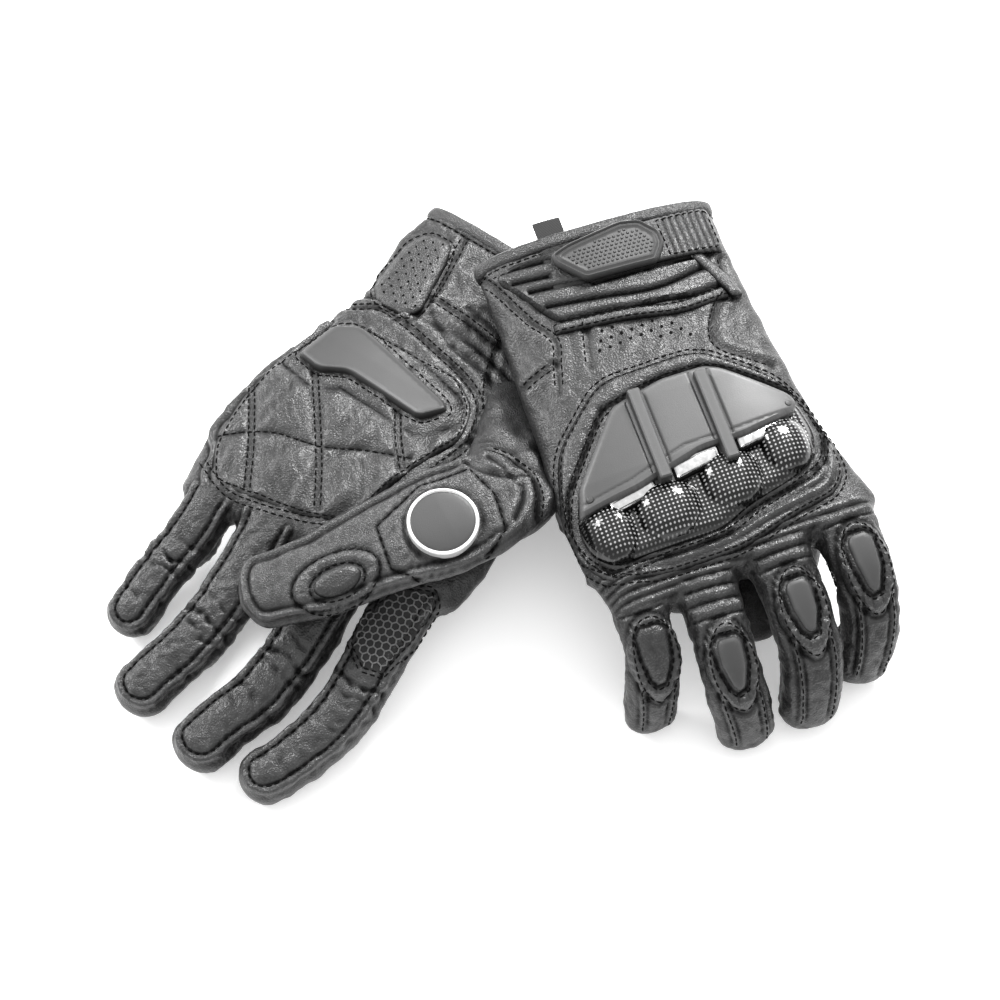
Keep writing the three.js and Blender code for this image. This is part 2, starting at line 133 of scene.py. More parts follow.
PLATE = [
    (-45, 101), (-43, 97), (-22, 80), (-16, 77.5), (1, 78), (22, 83.5), (44, 111), (47, 121.5),
    (39, 120.5), (23, 118.5), (-3.5, 111), (-21, 110), (-42, 105.5),
]
VENTS = [
    (-40, 103), (-20, 104), (6, 109), (36, 116.5), (36, 124.5), (14, 121), (-15, 115), (-40, 111),
]
BUMPS = [(38, 129.5, 9.5), (15, 127.5, 12), (-11, 123, 11.5), (-35, 115.5, 9.5)]
BUMP_REACH = 11.5  # half the length of a bump along the hand
RIDGES = [13, -13]
RIVETS = [(41.5, 116.5), (-41, 101.8)]
GUARD_HEIGHT = 12.5
GUARD_Y = 112

# ------------------------------ sizes of the looks, in mm

VOXEL = 1.25  # grid of the joined skin, which one subdivision halves
STITCH = 2.3
STITCH_PITCH = 3.1
STITCH_RADIUS = 0.3
ROW_GAP = 1.15  # half the distance between the rows of a double seam
ROOT_S = 0.4  # a finger's own skin starts here, just past the web
MIDDLE_MARGIN = 6  # and its tip's skin this far before its middle joint


# ------------------------------ plain geometry

def smooth_step(low, high, value):
    t = np.clip((np.asarray(value, float) - low) / (high - low), 0, 1)
    return t * t * (3 - 2 * t)


def place(hand, points):
    """Points of a hand frame in the row frame, in metres."""
    lay = LAY[hand]
    turn = math.radians(lay["turn"])
    p = np.asarray(points, float).reshape(-1, 3)
    x = p[:, 0] * math.cos(turn) - p[:, 1] * math.sin(turn) + lay["x"]
    y = p[:, 0] * math.sin(turn) + p[:, 1] * math.cos(turn) + lay["y"]
    return np.stack([x, y, p[:, 2] * lay["mirror"] + lay["z"]], 1) * MM


def slant(y):
    return WEB_SLANT * np.clip((y - KNUCKLE_Y) / (WEB_Y - KNUCKLE_Y), 0, 1)


def section(hand, y):
    """Centre x and z, half width and half height of the hand at station y."""
    table = np.array(HAND[hand], float)
    return [np.interp(y, table[:, 0], table[:, k]) for k in (1, 2, 3, 4)]


def surface(hand, x, y, side, offset=0.0):
    """Height of the hand's outer form, grown by offset, over points (x, y) on one side of it."""
    x, y = np.asarray(x, float), np.asarray(y, float)
    station = y.copy()
    for _ in range(6):
        station = y - slant(station) * x
    cx, cz, a, b = section(hand, station)
    u = np.clip(np.abs(x - cx) / (a + offset), 0, 0.9999)
    return cz + side * (b + offset) * (1 - u**SHELL_POWER) ** (1 / SHELL_POWER)


def superellipse(count, power):
    t = np.arange(count) / count * 2 * np.pi
    c, s = np.cos(t), np.sin(t)
    return np.sign(c) * np.abs(c) ** (2 / power), np.sign(s) * np.abs(s) ** (2 / power)


def catmull_rom(points, step):
    """A centripetal Catmull-Rom curve through points, as points about one step apart along it."""
    p = np.asarray(points, float)
    p = np.vstack([2 * p[0] - p[1], p, 2 * p[-1] - p[-2]])
    made = []
    for i in range(1, len(p) - 2):
        d = [math.sqrt(np.linalg.norm(p[i + k] - p[i + k - 1])) for k in (0, 1, 2)]
        before, here, after = p[i] - p[i - 1], p[i + 1] - p[i], p[i + 2] - p[i + 1]
        t1 = (before / d[0] - (p[i + 1] - p[i - 1]) / (d[0] + d[1]) + here / d[1]) * d[1]
        t2 = (here / d[1] - (p[i + 2] - p[i]) / (d[1] + d[2]) + after / d[2]) * d[1]
        t = np.linspace(0, 1, 60, endpoint=False)[:, None]
        a = 2 * p[i] - 2 * p[i + 1] + t1 + t2
        b = -3 * p[i] + 3 * p[i + 1] - 2 * t1 - t2
        made.append(p[i] + t1 * t + b * t**2 + a * t**3)
    return resample(np.vstack([*made, p[-2]]), step)


def resample(points, step):
    p = np.asarray(points, float)
    run = np.concatenate([[0], np.cumsum(np.linalg.norm(np.diff(p, axis=0), axis=1))])
    count = max(int(round(run[-1] / step)), 2) + 1
    at = np.linspace(0, run[-1], count)
    return np.stack([np.interp(at, run, p[:, k]) for k in range(p.shape[1])], 1)


def looped(line):
    """A closed line's points with the first one again at the end."""
    return np.vstack([line, line[:1]])


def ellipse(cx, cy, rx, ry, count=36):
    t = np.linspace(0, 2 * np.pi, count, endpoint=False)
    return np.stack([cx + rx * np.cos(t), cy + ry * np.sin(t)], 1)


def rounded(outline, radius, step):
    """A closed outline with its corners rounded, as points about one step apart."""
    p = np.asarray(outline, float)
    made = []
    for i in range(len(p)):
        before, after = p[i - 1] - p[i], p[(i + 1) % len(p)] - p[i]
        cut = min(radius, 0.45 * np.linalg.norm(before), 0.45 * np.linalg.norm(after))
        start = p[i] + before / np.linalg.norm(before) * cut
        end = p[i] + after / np.linalg.norm(after) * cut
        t = np.linspace(0, 1, 7)[:, None]
        made.append(start * (1 - t) ** 2 + 2 * p[i] * t * (1 - t) + end * t**2)
    return resample(looped(np.vstack(made)), step)[:-1]


def distance_to(line, points, closed=False):
    """Distance of 2-D points to a polyline."""
    line = np.asarray(line, float)
    a = line if closed else line[:-1]
    b = np.roll(line, -1, 0) if closed else line[1:]
    best = np.full(len(points), 1e9)
    for p, q in zip(a, b):
        d = q - p
        t = np.clip(((points - p) @ d) / max(d @ d, 1e-12), 0, 1)
        best = np.minimum(best, np.linalg.norm(points - p - t[:, None] * d, axis=1))
    return best


def ordered(outline):
    """The outline running anticlockwise."""
    o = np.asarray(outline, float)
    area = (o[:, 0] * np.roll(o[:, 1], -1) - np.roll(o[:, 0], -1) * o[:, 1]).sum()
    return o if area > 0 else o[::-1]


def inside(outline, points):
    """Which 2-D points lie inside a closed outline."""
    line = np.asarray(outline, float)
    found = np.zeros(len(points), bool)
    x, y = points[:, 0], points[:, 1]
    for (x0, y0), (x1, y1) in zip(line, np.roll(line, -1, 0)):
        crosses = (y0 > y) != (y1 > y)
        if y1 != y0:
            found ^= crosses & (x < (x1 - x0) * (y - y0) / (y1 - y0) + x0)
    return found


def depth_in(outline, points):
    """Distance inside a closed outline, negative outside it."""
    d = distance_to(outline, points, closed=True)
    return np.where(inside(outline, points), d, -d)


def grown(outline, distance):
    """A closed anticlockwise outline moved outwards."""
    p = np.asarray(outline, float)
    edge = np.roll(p, -1, 0) - p
    away = np.stack([edge[:, 1], -edge[:, 0]], 1) / np.linalg.norm(edge, axis=1)[:, None]
    before = np.roll(away, 1, 0)
    bisector = before + away
    reach = distance / np.maximum(1 + (before * away).sum(1), 0.3)
    return p + bisector * reach[:, None]


def shifted(line, distance):
    """An open 2-D polyline moved to its right-hand side."""
    line = np.asarray(line, float)
    d = np.gradient(line, axis=0)
    d /= np.maximum(np.linalg.norm(d, axis=1), 1e-9)[:, None]
    return line + np.stack([d[:, 1], -d[:, 0]], 1) * distance


def ripple(points, wavelength, seed, waves=9):
    """Smooth unevenness of about +-1 over points, the same on every run."""
    draw = np.random.default_rng(seed)
    bent = points + 0.35 * wavelength * np.sin(points[:, [1, 2, 0]] / wavelength * 2.1 + seed)
    total = np.zeros(len(points))
    for _ in range(waves):
        direction = draw.normal(size=3)
        direction /= np.linalg.norm(direction)
        k = 2 * np.pi / (wavelength * draw.uniform(0.6, 1.6))
        total += np.sin(bent @ direction * k + draw.uniform(0, 2 * np.pi))
    return total / math.sqrt(waves)


def bump_line(distance, width):
    return np.exp(-((distance / width) ** 2))


# ------------------------------ meshes

class Shape:
    """Vertices and faces of one mesh in a hand frame, with each vertex's rise over its surroundings, which
    the materials paint as lighter ridges (rubbed polish on leather, and painted highlight) and darker grooves
    (painted shade), and its place on the flat cloth.
    """

    def __init__(self, points, faces, wear_and_painted_light=None, cloth=None):
        self.points = np.asarray(points, float)
        self.faces = [list(map(int, f)) for f in faces]
        self.wear_and_painted_light = np.zeros(len(self.points)) if wear_and_painted_light is None else np.asarray(wear_and_painted_light, float)
        self.cloth = self.points[:, :2].copy() if cloth is None else cloth


def joined(shapes):
    points, faces, wear_and_painted_light, cloth, start = [], [], [], [], 0
    for s in shapes:
        points.append(s.points)
        wear_and_painted_light.append(s.wear_and_painted_light)
        cloth.append(s.cloth)
        faces += [[i + start for i in f] for f in s.faces]
        start += len(s.points)
    return Shape(np.vstack(points), faces, np.concatenate(wear_and_painted_light), np.vstack(cloth))


def linked(name, data):
    """A new object in the scene that shows data."""
    obj = bpy.data.objects.new(name, data)
    bpy.context.scene.collection.objects.link(obj)
    return obj


def add_piece(name, hand, shape, material, crease=None, normals=None):
    """A mesh object of a shape, in the row frame. crease is the angle from which edges are sharp."""
    mesh = bpy.data.meshes.new(name)
    turned = LAY[hand]["mirror"] < 0
    faces = [f[::-1] for f in shape.faces] if turned else shape.faces
    mesh.from_pydata(place(hand, shape.points).tolist(), [], faces)
    mesh.validate()
    # the per-vertex rise that the materials paint as lighter ridges (rubbed polish and painted highlight) and
    # painted shade in grooves
    wear_and_painted_light = mesh.attributes.new("wear_and_painted_light", "FLOAT", "POINT")
    wear_and_painted_light.data.foreach_set("value", shape.wear_and_painted_light.astype(np.float32))
    flat = mesh.attributes.new("flat", "FLOAT_VECTOR", "POINT")
    across = np.zeros((len(shape.points), 3), np.float32)
    across[:, :2] = shape.cloth
    flat.data.foreach_set("vector", across.ravel())
    mesh.shade_smooth()
    if crease is not None:
        mesh.set_sharp_from_angle(angle=math.radians(crease))
    if normals is not None:
        n = np.asarray(normals, float) * [1, 1, LAY[hand]["mirror"]]
        turn = math.radians(LAY[hand]["turn"])
        c, s = math.cos(turn), math.sin(turn)
        n = np.stack([n[:, 0] * c - n[:, 1] * s, n[:, 0] * s + n[:, 1] * c, n[:, 2]], 1)
        mesh.normals_split_custom_set_from_vertices(n.tolist())
    mesh.materials.append(material)
    obj = linked(name, mesh)
    return obj


def loft(rings, capped=True):
    """A skin over rings that all have the same number of points and run from side to up."""
    around = len(rings[0])
    faces = []
    for r in range(len(rings) - 1):
        p = r * around + np.arange(around)
        q = r * around + (np.arange(around) + 1) % around
        faces += np.stack([p, p + around, q + around, q], 1).tolist()
    if capped:
        last = (len(rings) - 1) * around
        faces.append(list(range(around)))
        faces.append([last + i for i in range(around)][::-1])
    return Shape(np.vstack(rings), faces)


def tree_of(*shapes):
    """One ray-casting tree of several shapes."""
    both = joined(shapes)
    return BVHTree.FromPolygons(both.points.tolist(), both.faces)


def evaluated(shape, build):
    """The shape with modifiers that build(object) adds, as arrays of points, quads and edges."""
    mesh = bpy.data.meshes.new("work")
    mesh.from_pydata(shape.points.tolist(), [], shape.faces)
    obj = linked("work", mesh)
    build(obj)
    made = bpy.data.meshes.new_from_object(obj.evaluated_get(bpy.context.evaluated_depsgraph_get()))
    points = np.zeros(len(made.vertices) * 3)
    made.vertices.foreach_get("co", points)
    edges = np.zeros(len(made.edges) * 2, int)
    made.edges.foreach_get("vertices", edges)
    corners = np.zeros(len(made.loops), int)
    made.loops.foreach_get("vertex_index", corners)
    bpy.data.objects.remove(obj)
    bpy.data.meshes.remove(made)
    bpy.data.meshes.remove(mesh)
    return points.reshape(-1, 3), corners.reshape(-1, 4), edges.reshape(-1, 2)


def relax(points, edges, rounds, share=0.5):
    """Each point moved towards the mean of its neighbours."""
    degree = np.bincount(edges.ravel(), minlength=len(points))[:, None]
    for _ in range(rounds):
        total = np.zeros_like(points)
        np.add.at(total, edges[:, 0], points[edges[:, 1]])
        np.add.at(total, edges[:, 1], points[edges[:, 0]])
        points = points + share * (total / np.maximum(degree, 1) - points)
    return points


def normals_of(points, quads):
    """Vertex normals of a quad or triangle mesh."""
    a = points[quads[:, 2]] - points[quads[:, 0]]
    b = points[quads[:, -1]] - points[quads[:, 1]]
    n = np.cross(a, b)
    total = np.zeros_like(points)
    for k in range(quads.shape[1]):
        np.add.at(total, quads[:, k], n)
    return total / np.maximum(np.linalg.norm(total, axis=1), 1e-12)[:, None]


# ------------------------------ finger centre lines

class Line:
    """A finger's or thumb's centre line, sampled finely and carried straight on past its ends."""

    def __init__(self, points, before=24, after=4, step=0.5):
        core = catmull_rom(points, step)
        self.length = np.linalg.norm(np.diff(core, axis=0), axis=1).sum()
        step = self.length / (len(core) - 1)
        first, last = core[0] - core[1], core[-1] - core[-2]
        lead = core[0] + first * np.arange(int(before / step), 0, -1)[:, None]
        tail = core[-1] + last * np.arange(1, int(after / step) + 1)[:, None]
        self.points = np.vstack([lead, core, tail])
        self.s = (np.arange(len(self.points)) - len(lead)) * step
        tangent = np.gradient(self.points, axis=0)
        self.tangent = tangent / np.linalg.norm(tangent, axis=1)[:, None]
        side = np.array([1.0, 0, 0]) - self.tangent[:, :1] * self.tangent
        self.side = side / np.linalg.norm(side, axis=1)[:, None]
        self.up = np.cross(self.side, self.tangent)

    def at(self, s):
        """Place, tangent, side and up at distances s."""
        s = np.atleast_1d(np.asarray(s, float))
        out = []
        for table in (self.points, self.tangent, self.side, self.up):
            v = np.stack([np.interp(s, self.s, table[:, k]) for k in range(3)], 1)
            out.append(v if table is self.points else v / np.linalg.norm(v, axis=1)[:, None])
        return out

    def locate(self, points):
        """Distance along the line, and offset to its side and up, of each point."""
        near = np.zeros(len(points), int)
        batch = 20000  # points at once, which bounds the memory
        for start in range(0, len(points), batch):
            chunk = points[start : start + batch]
            d = ((chunk[:, None, :] - self.points[None, ::2, :]) ** 2).sum(2)
            near[start : start + batch] = d.argmin(1) * 2
        away = points - self.points[near]
        s = self.s[near] + (away * self.tangent[near]).sum(1)
        return s, (away * self.side[near]).sum(1), (away * self.up[near]).sum(1)


def finger_size(finger, share):
    f = FINGERS[finger]
    share = np.asarray(share, float)
    return f["a"][0] + (f["a"][1] - f["a"][0]) * share, f["b"][0] + (f["b"][1] - f["b"][0]) * share


def thumb_size(share):
    at = np.linspace(0, 1, len(THUMB_A))
    return np.interp(share, at, THUMB_A), np.interp(share, at, THUMB_B)


# ------------------------------ materials

class Nodes:
    """Short ways to add and link the nodes of one material."""

    def __init__(self, name, **values):
        self.material = bpy.data.materials.new(name)
        self.material.use_nodes = True
        self.tree = self.material.node_tree
        self.shader = self.tree.nodes["Principled BSDF"]
        for key, value in values.items():
            self.shader.inputs[key.replace("_", " ")].default_value = value

    def add(self, kind, **settings):
        node = self.tree.nodes.new(kind)
        for key, value in settings.items():
            if hasattr(node, key):
                setattr(node, key, value)
            else:
                node.inputs[key.replace("_", " ")].default_value = value
        return node

    def link(self, source, target):
        self.tree.links.new(source, target)

    def feed(self, socket, value):
        """Sets a socket to a number or colour, or links it to an output."""
        if isinstance(value, (int, float, tuple)):
            socket.default_value = value
        else:
            self.link(value, socket)

    def place(self):
        return self.add("ShaderNodeTexCoord").outputs["Object"]

    def noise(self, scale, detail=3.0, rough=0.55, vector=None):
        node = self.add("ShaderNodeTexNoise", Scale=scale, Detail=detail, Roughness=rough)
        self.link(vector or self.place(), node.inputs["Vector"])
        return node.outputs["Fac"]

    def cells(self, scale, feature="F1", vector=None):
        node = self.add("ShaderNodeTexVoronoi", feature=feature, Scale=scale)
        self.link(vector or self.place(), node.inputs["Vector"])
        return node.outputs["Distance"]

    def range(self, value, low, high, to_low, to_high):
        node = self.add("ShaderNodeMapRange")
        for key, number in (("From Min", low), ("From Max", high), ("To Min", to_low), ("To Max", to_high)):
            node.inputs[key].default_value = number
        self.link(value, node.inputs["Value"])
        return node.outputs["Result"]

    def math(self, operation, a, b):
        node = self.add("ShaderNodeMath", operation=operation)
        self.feed(node.inputs[0], a)
        self.feed(node.inputs[1], b)
        return node.outputs[0]

    def mix(self, share, a, b):
        node = self.add("ShaderNodeMix", data_type="RGBA")
        self.feed(node.inputs[6], a)
        self.feed(node.inputs[7], b)
        self.link(share, node.inputs[0])
        return node.outputs[2]

    def attribute(self, name, output="Fac"):
        return self.add("ShaderNodeAttribute", attribute_name=name).outputs[output]

    def bump(self, height, strength, distance, before=None):
        node = self.add("ShaderNodeBump", Strength=strength, Distance=distance)
        self.link(height, node.inputs["Height"])
        if before is not None:
            self.link(before, node.inputs["Normal"])
        return node.outputs["Normal"]

    def done(self, **sockets):
        for key, value in sockets.items():
            self.link(value, self.shader.inputs[key.replace("_", " ")])
        return self.material


def grey(value, tint=0.0):
    return (value, value, value * (1 + tint), 1)


def leather_material(name, tone, grain, gloss):
    """Soft leather: pebbled grain, pores, creases, ridges made lighter as rubbed polish and painted
    highlight, and grooves painted darker and less shiny as painted shade.
    """
    n = Nodes(name)
    tall = n.cells(1150 * grain)
    fine = n.cells(2300 * grain)
    creases = n.noise(260, 5, 0.62)
    patches = n.noise(38, 3, 0.5)
    wear_and_painted_light = n.attribute("wear_and_painted_light")
    grain_height = n.math("ADD", n.range(tall, 0.05, 0.62, 1, 0), n.math("MULTIPLY", fine, 0.5))
    base = n.mix(patches, grey(tone * 0.72), grey(tone * 1.35, 0.02))
    pits = n.mix(n.range(tall, 0.35, 0.75, 0, 0.75), base, grey(tone * 0.35))
    # ridges lighter: partly rubbed polish, partly painted highlight
    polish_and_painted_highlight = n.mix(n.range(wear_and_painted_light, 0, 1, 0, 0.6), pits, grey(tone * 2.1, 0.01))
    # painted shade: grooves, and the walls of laid pieces, are darkened towards a fifth of the tone
    painted_shade_colour = n.mix(n.range(wear_and_painted_light, -1, 0, 0.85, 0), polish_and_painted_highlight, grey(tone * 0.2))
    uneven = n.range(creases, 0.3, 0.7, gloss - 0.06, gloss + 0.1)
    rough = n.math("ADD", uneven, n.range(wear_and_painted_light, -1, 1, 0.12, -0.08))
    low = n.bump(creases, 0.5, 0.0007)
    # grooves reflect less: painted shade on the specular too
    shine = n.range(wear_and_painted_light, -1, 0.1, 0.06, 0.6)
    return n.done(Base_Color=painted_shade_colour, Roughness=rough, Specular_IOR_Level=shine,
                  Normal=n.bump(grain_height, 0.55, 0.00028, low))


def moulded_material(name, tone, rough, shine=0.45):
    """Moulded rubbery plastic with a fine spark-eroded texture, a painted highlight on its raised edges and
    painted shade in its grooves and on its walls.
    """
    n = Nodes(name, Specular_IOR_Level=shine)
    speck = n.noise(2600, 2, 0.6)
    haze = n.noise(60, 3, 0.5)
    wear_and_painted_light = n.attribute("wear_and_painted_light")
    base = n.mix(haze, grey(tone * 0.88), grey(tone * 1.1))
    # painted highlight on raised edges and bevels
    edges = n.mix(n.range(wear_and_painted_light, 0, 1, 0, 0.7), base, grey(tone * 1.8))
    # painted shade in grooves and on the walls
    painted_shade_colour = n.mix(n.range(wear_and_painted_light, -1, 0, 0.7, 0), edges, grey(tone * 0.25))
    grade = n.range(haze, 0.3, 0.7, rough - 0.05, rough + 0.06)
    return n.done(Base_Color=painted_shade_colour, Roughness=grade, Normal=n.bump(speck, 0.35, 0.00012))


def carbon_material():
    """Glossy woven carbon look: light tows crossing dark ones, drawn in the hand's own x and y. Towards the
    cap's edge the light dots fade out, painted shade under the domes' lips.
    """
    n = Nodes("carbon_weave", Roughness=0.2, Specular_IOR_Level=0.2, Coat_Weight=0.5, Coat_Roughness=0.05)
    split = n.add("ShaderNodeSeparateXYZ")
    n.link(n.attribute("flat", "Vector"), split.inputs[0])
    pitch = math.pi / 1.15
    turn_x = n.math("MULTIPLY", n.math("ADD", split.outputs[0], split.outputs[1]), pitch * 0.7071)
    turn_y = n.math("MULTIPLY", n.math("SUBTRACT", split.outputs[0], split.outputs[1]), pitch * 0.7071)
    waves = n.math("MULTIPLY", n.math("SINE", turn_x, 0), n.math("SINE", turn_y, 0))
    # painted shade: the light dots fade to an eighth over the cap's lip and wall, leaving them dark
    skirt = n.range(n.attribute("wear_and_painted_light"), -1, 0, 0.12, 1)
    dots = n.math("MULTIPLY", n.range(waves, 0.3, 0.95, 0, 1), skirt)
    base = n.mix(dots, grey(0.0015), grey(0.42))
    metal = n.range(dots, 0, 1, 0.0, 0.3)
    return n.done(Base_Color=base, Metallic=metal, Normal=n.bump(waves, 0.25, 0.00015))


def bright_material():
    n = Nodes("bright_polish", Metallic=1.0)
    streak = n.noise(420, 3, 0.6)
    base = n.mix(streak, grey(0.3), grey(0.62))
    grade = n.range(streak, 0.3, 0.7, 0.14, 0.3)
    return n.done(Base_Color=base, Roughness=grade, Normal=n.bump(streak, 0.2, 0.0002))


def cloth_material(name, tone, scale, rough=0.85, shine=0.3):
    """Woven tape, thread or fibre: two crossing bands with fuzz."""
    n = Nodes(name, Specular_IOR_Level=shine)
    fibre = n.noise(scale, 4, 0.7)
    weave = n.add("ShaderNodeTexWave", Scale=scale * 0.35, Distortion=1.5, bands_direction="DIAGONAL")
    n.link(n.place(), weave.inputs["Vector"])
    base = n.mix(fibre, grey(tone * 0.55), grey(tone * 1.5))
    both = n.math("ADD", fibre, weave.outputs["Fac"])
    grade = n.range(fibre, 0.2, 0.8, rough - 0.1, rough + 0.08)
    return n.done(Base_Color=base, Roughness=grade, Normal=n.bump(both, 0.5, 0.0002))


MATERIALS = {
    "leather": leather_material("leather_grained", 0.013, 1.0, 0.37),
    "smooth": leather_material("leather_smooth", 0.016, 1.35, 0.35),
    "pad": leather_material("leather_pad", 0.0125, 1.1, 0.38),
    "plastic": moulded_material("plastic_moulded", 0.034, 0.5),
    "guard": moulded_material("plastic_guard", 0.05, 0.45),
    "white": moulded_material("plastic_white", 0.8, 0.4),
    "carbon": carbon_material(),
    "bright": bright_material(),
    "thread": cloth_material("thread_black", 0.003, 2400, 0.7, 0.06),
    "tape": cloth_material("tape_woven", 0.022, 1500),
    "hook": cloth_material("hook_and_loop", 0.018, 1900),
    "net": cloth_material("net_cord", 0.14, 2200, 0.5),
    "lining": cloth_material("lining_fleece", 0.012, 900),
    # near-black: painted shade standing in for the insides of the perforations, which are shallow dished
    # rounds and not cut through; also used for the dark edges round the vent windows
    "hole": moulded_material("hole_dark", 0.003, 0.8, 0.05),
}


# ------------------------------ the joined skin of a hand and its fingers

FRONT = [(152.2, 0.93), (153.6, 0.78), (154.8, 0.5)]  # the rounded front: stations and shares of the height
CUFF_OVER = 5  # the form runs past the cuff before it is cut there


def hand_form(hand):
    c, s = superellipse(72, SHELL_POWER)
    stops = [(y, 1) for y in np.arange(-CUFF_OVER, WEB_Y + 0.1, 4)] + FRONT
    rings = []
    for y, share in stops:
        cx, cz, a, b = section(hand, y)
        x = cx + (a - (1 - share) * b) * c
        rings.append(np.stack([x, y + slant(y) * x, cz + b * share * s], 1))
    return loft(rings)


def dome(s, length, radius):
    """Share of the full size at distance s, rounded off over the last stretch."""
    t = np.clip((np.asarray(s, float) - (length - radius)) / radius, 0, 0.995)
    return np.sqrt(1 - t**2)


def finger_form(line, finger):
    c, s = superellipse(40, FINGER_POWER)
    end = line.length
    tip = end - TIP_ROUND * (1 - np.sin(np.linspace(0.02, 1.5, 7)))
    stops = [*np.arange(-16, end - TIP_ROUND, 2.5), *tip]
    rings = []
    for at in stops:
        centre, _, side, up = (v[0] for v in line.at(at))
        a, b = finger_size(finger, at / end)
        share = dome(at, end, TIP_ROUND) * (0.72 + 0.28 * smooth_step(-16, 1, at))
        rings.append(centre + np.outer(a * share * c, side) + np.outer(b * share * s, up))
    return loft(rings)


def faces_alone(quads, chosen, count):
    """The points of the chosen faces, and these faces numbered over those points."""
    used = np.unique(quads[chosen])
    renumber = np.full(count, -1)
    renumber[used] = np.arange(len(used))
    return used, renumber[quads[chosen]]


def joined_skin(hand, lines):
    """The hand and its fingers as one smooth quad skin, cut open at the cuff."""
    forms = [hand_form(hand)] + [finger_form(lines[f], f) for f in FINGERS]

    def union(obj):
        remesh = obj.modifiers.new("join", "REMESH")
        remesh.mode, remesh.voxel_size = "VOXEL", VOXEL

    def finer(obj):
        obj.modifiers.new("finer", "SUBSURF").levels = 1

    points, quads, edges = evaluated(joined(forms), union)
    calm = relax(points, edges, 5)
    soft = relax(calm, edges, 22)
    slanted = points[:, 1] + 0.12 * points[:, 0]
    web = smooth_step(136, 148, points[:, 1]) * (1 - smooth_step(160, 168, slanted))
    points = calm + (soft - calm) * (0.9 * web)[:, None]
    points, quads, edges = evaluated(Shape(points, quads), finer)
    used, faces = faces_alone(quads, (points[quads][:, :, 1] > 0).all(1), len(points))
    return points[used], faces


# ------------------------------ seams of the skin, as lines in the hand frame

# Each seam: its line, then the depth of its groove and how many rows of stitches it has.
PALM_SEAMS = [
    ([(46, 60), (40, 57.5), (32, 53.5), (17, 54.6), (2, 57), (-18, 61.5), (-27, 68), (-33, 82)], 0.8, 2),
    ([(25, 8), (22, 22), (19, 39), (19, 52)], 0.6, 2),
    ([(19, 38), (2, 38), (-16, 40)], 0.6, 2),
    ([(-16, 8), (-14, 30), (-20, 52), (-30, 68)], 0.6, 1),
    ([(-33, 82), (-28, 112), (-25, 136), (-20, 146)], 0.7, 2),
]
BACK_SEAMS = [
    ([(48, 6), (45, 12), (37, 32), (30.5, 45), (33, 55), (36, 66)], 0.7, 2),
    ([(47, 58), (34, 54)], 0.6, 2),
    ([(-43, 28), (-40, 44), (-33, 50), (-27, 65), (-45, 79)], 0.7, 1),
    ([(17, 41.5), (21.5, 60)], 0.5, 1),
]
PIPING = [(29.5, 40.5), (16, 42), (0, 43.5), (-19, 46.5), (-39, 44)]
WRIST_FOLDS = [  # creases of the palm side of the wrist: line, depth, width
    ([(44, 44), (30, 46), (12, 47), (-8, 46), (-30, 50)], 1.0, 1.8),
    ([(43, 52), (36, 50), (26, 51)], 0.7, 1.2),
    ([(14, 44), (-2, 51), (-20, 53), (-34, 60)], 0.8, 1.6),
    ([(4, 33), (-10, 35), (-28, 42), (-40, 44)], 0.6, 1.6),
]
SIDE_SEAM = [
    (46, 70), (47, 92), (49, 105), (51.3, 113), (52, 131), (50, 138), (44.5, 142), (42, 151), (38, 156),
]


def detail_of(height, faces, rounds):
    """How far each vertex stands over its surroundings: 1 on a ridge, -1 in a groove. The materials paint
    ridges lighter, as rubbed polish and painted highlight, and grooves darker, as painted shade.
    """
    pairs = [np.stack([faces[:, k], np.roll(faces, -1, 1)[:, k]], 1) for k in range(faces.shape[1])]
    around = relax(height[:, None], np.vstack(pairs), rounds)[:, 0]
    return np.clip((height - around) / 0.46, -1, 1)


def press_seams(height, flat, seams):
    """Sinks the grooves of seams into height, in place, each between two soft ridges."""
    for line, depth, _ in seams:
        d = distance_to(catmull_rom(line, 1.5), flat)
        height -= depth * bump_line(d, 1.5)
        height += 0.5 * depth * bump_line(d - 3.2, 1.8)


def palm_relief(points):
    """Height of the palm-side leather over the hand's form."""
    flat = points[:, :2]
    height = 0.28 * ripple(points, 15, 3) + 0.16 * ripple(points, 6, 4)
    press_seams(height, flat, PALM_SEAMS)
    for line, depth, width in WRIST_FOLDS:
        d = distance_to(catmull_rom(line, 1.5), flat)
        height -= depth * bump_line(d, width)
        height += 0.5 * depth * bump_line(d - 2.2 * width, 1.2 * width)
    wavy = catmull_rom(SIDE_SEAM, 1.0)
    wavy[:, 0] += 0.35 * np.sin(np.arange(len(wavy)) * 0.52)
    d = distance_to(wavy, flat)
    height += 1.0 * bump_line(d, 0.9) - 0.9 * bump_line(d - 2.2, 1.0)
    hem = bump_line(np.abs(flat[:, 1] - 6.6), 0.8)
    return height - 0.6 * hem


def back_relief(points):
    """Height of the back-side leather over the hand's form."""
    flat = points[:, :2]
    height = 0.25 * ripple(points, 14, 13) + 0.12 * ripple(points, 6, 14)
    press_seams(height, flat, BACK_SEAMS)
    front = smooth_step(138, 146, flat[:, 1]) * (1 - smooth_step(156, 162, flat[:, 1]))
    height += 0.45 * front * np.sin(points[:, 1] * 1.9 + 1.6 * np.sin(points[:, 0] * 0.09))
    hem = bump_line(np.abs(flat[:, 1] - 4.2), 0.7)
    return height - 0.6 * hem


# ------------------------------ seams and pads of a finger, in its own s and u

RIB_PITCH = 5.2
PULP_INSET = 2.5  # distance of the palm-side seams from the finger's sides
PAD_SIZE = (9.2, 15)  # half width and half length of a knuckle pad
INSERT = [  # the hard insert of a knuckle pad, wide at its knuckle end, as (u, s) from its middle
    (-4.6, -6), (-2.8, -8.1), (3.2, -8.3), (4.9, -6), (4.7, 0), (2.6, 6.8), (0.9, 8.4), (-1.4, 7.9),
    (-4.1, 1.5),
]


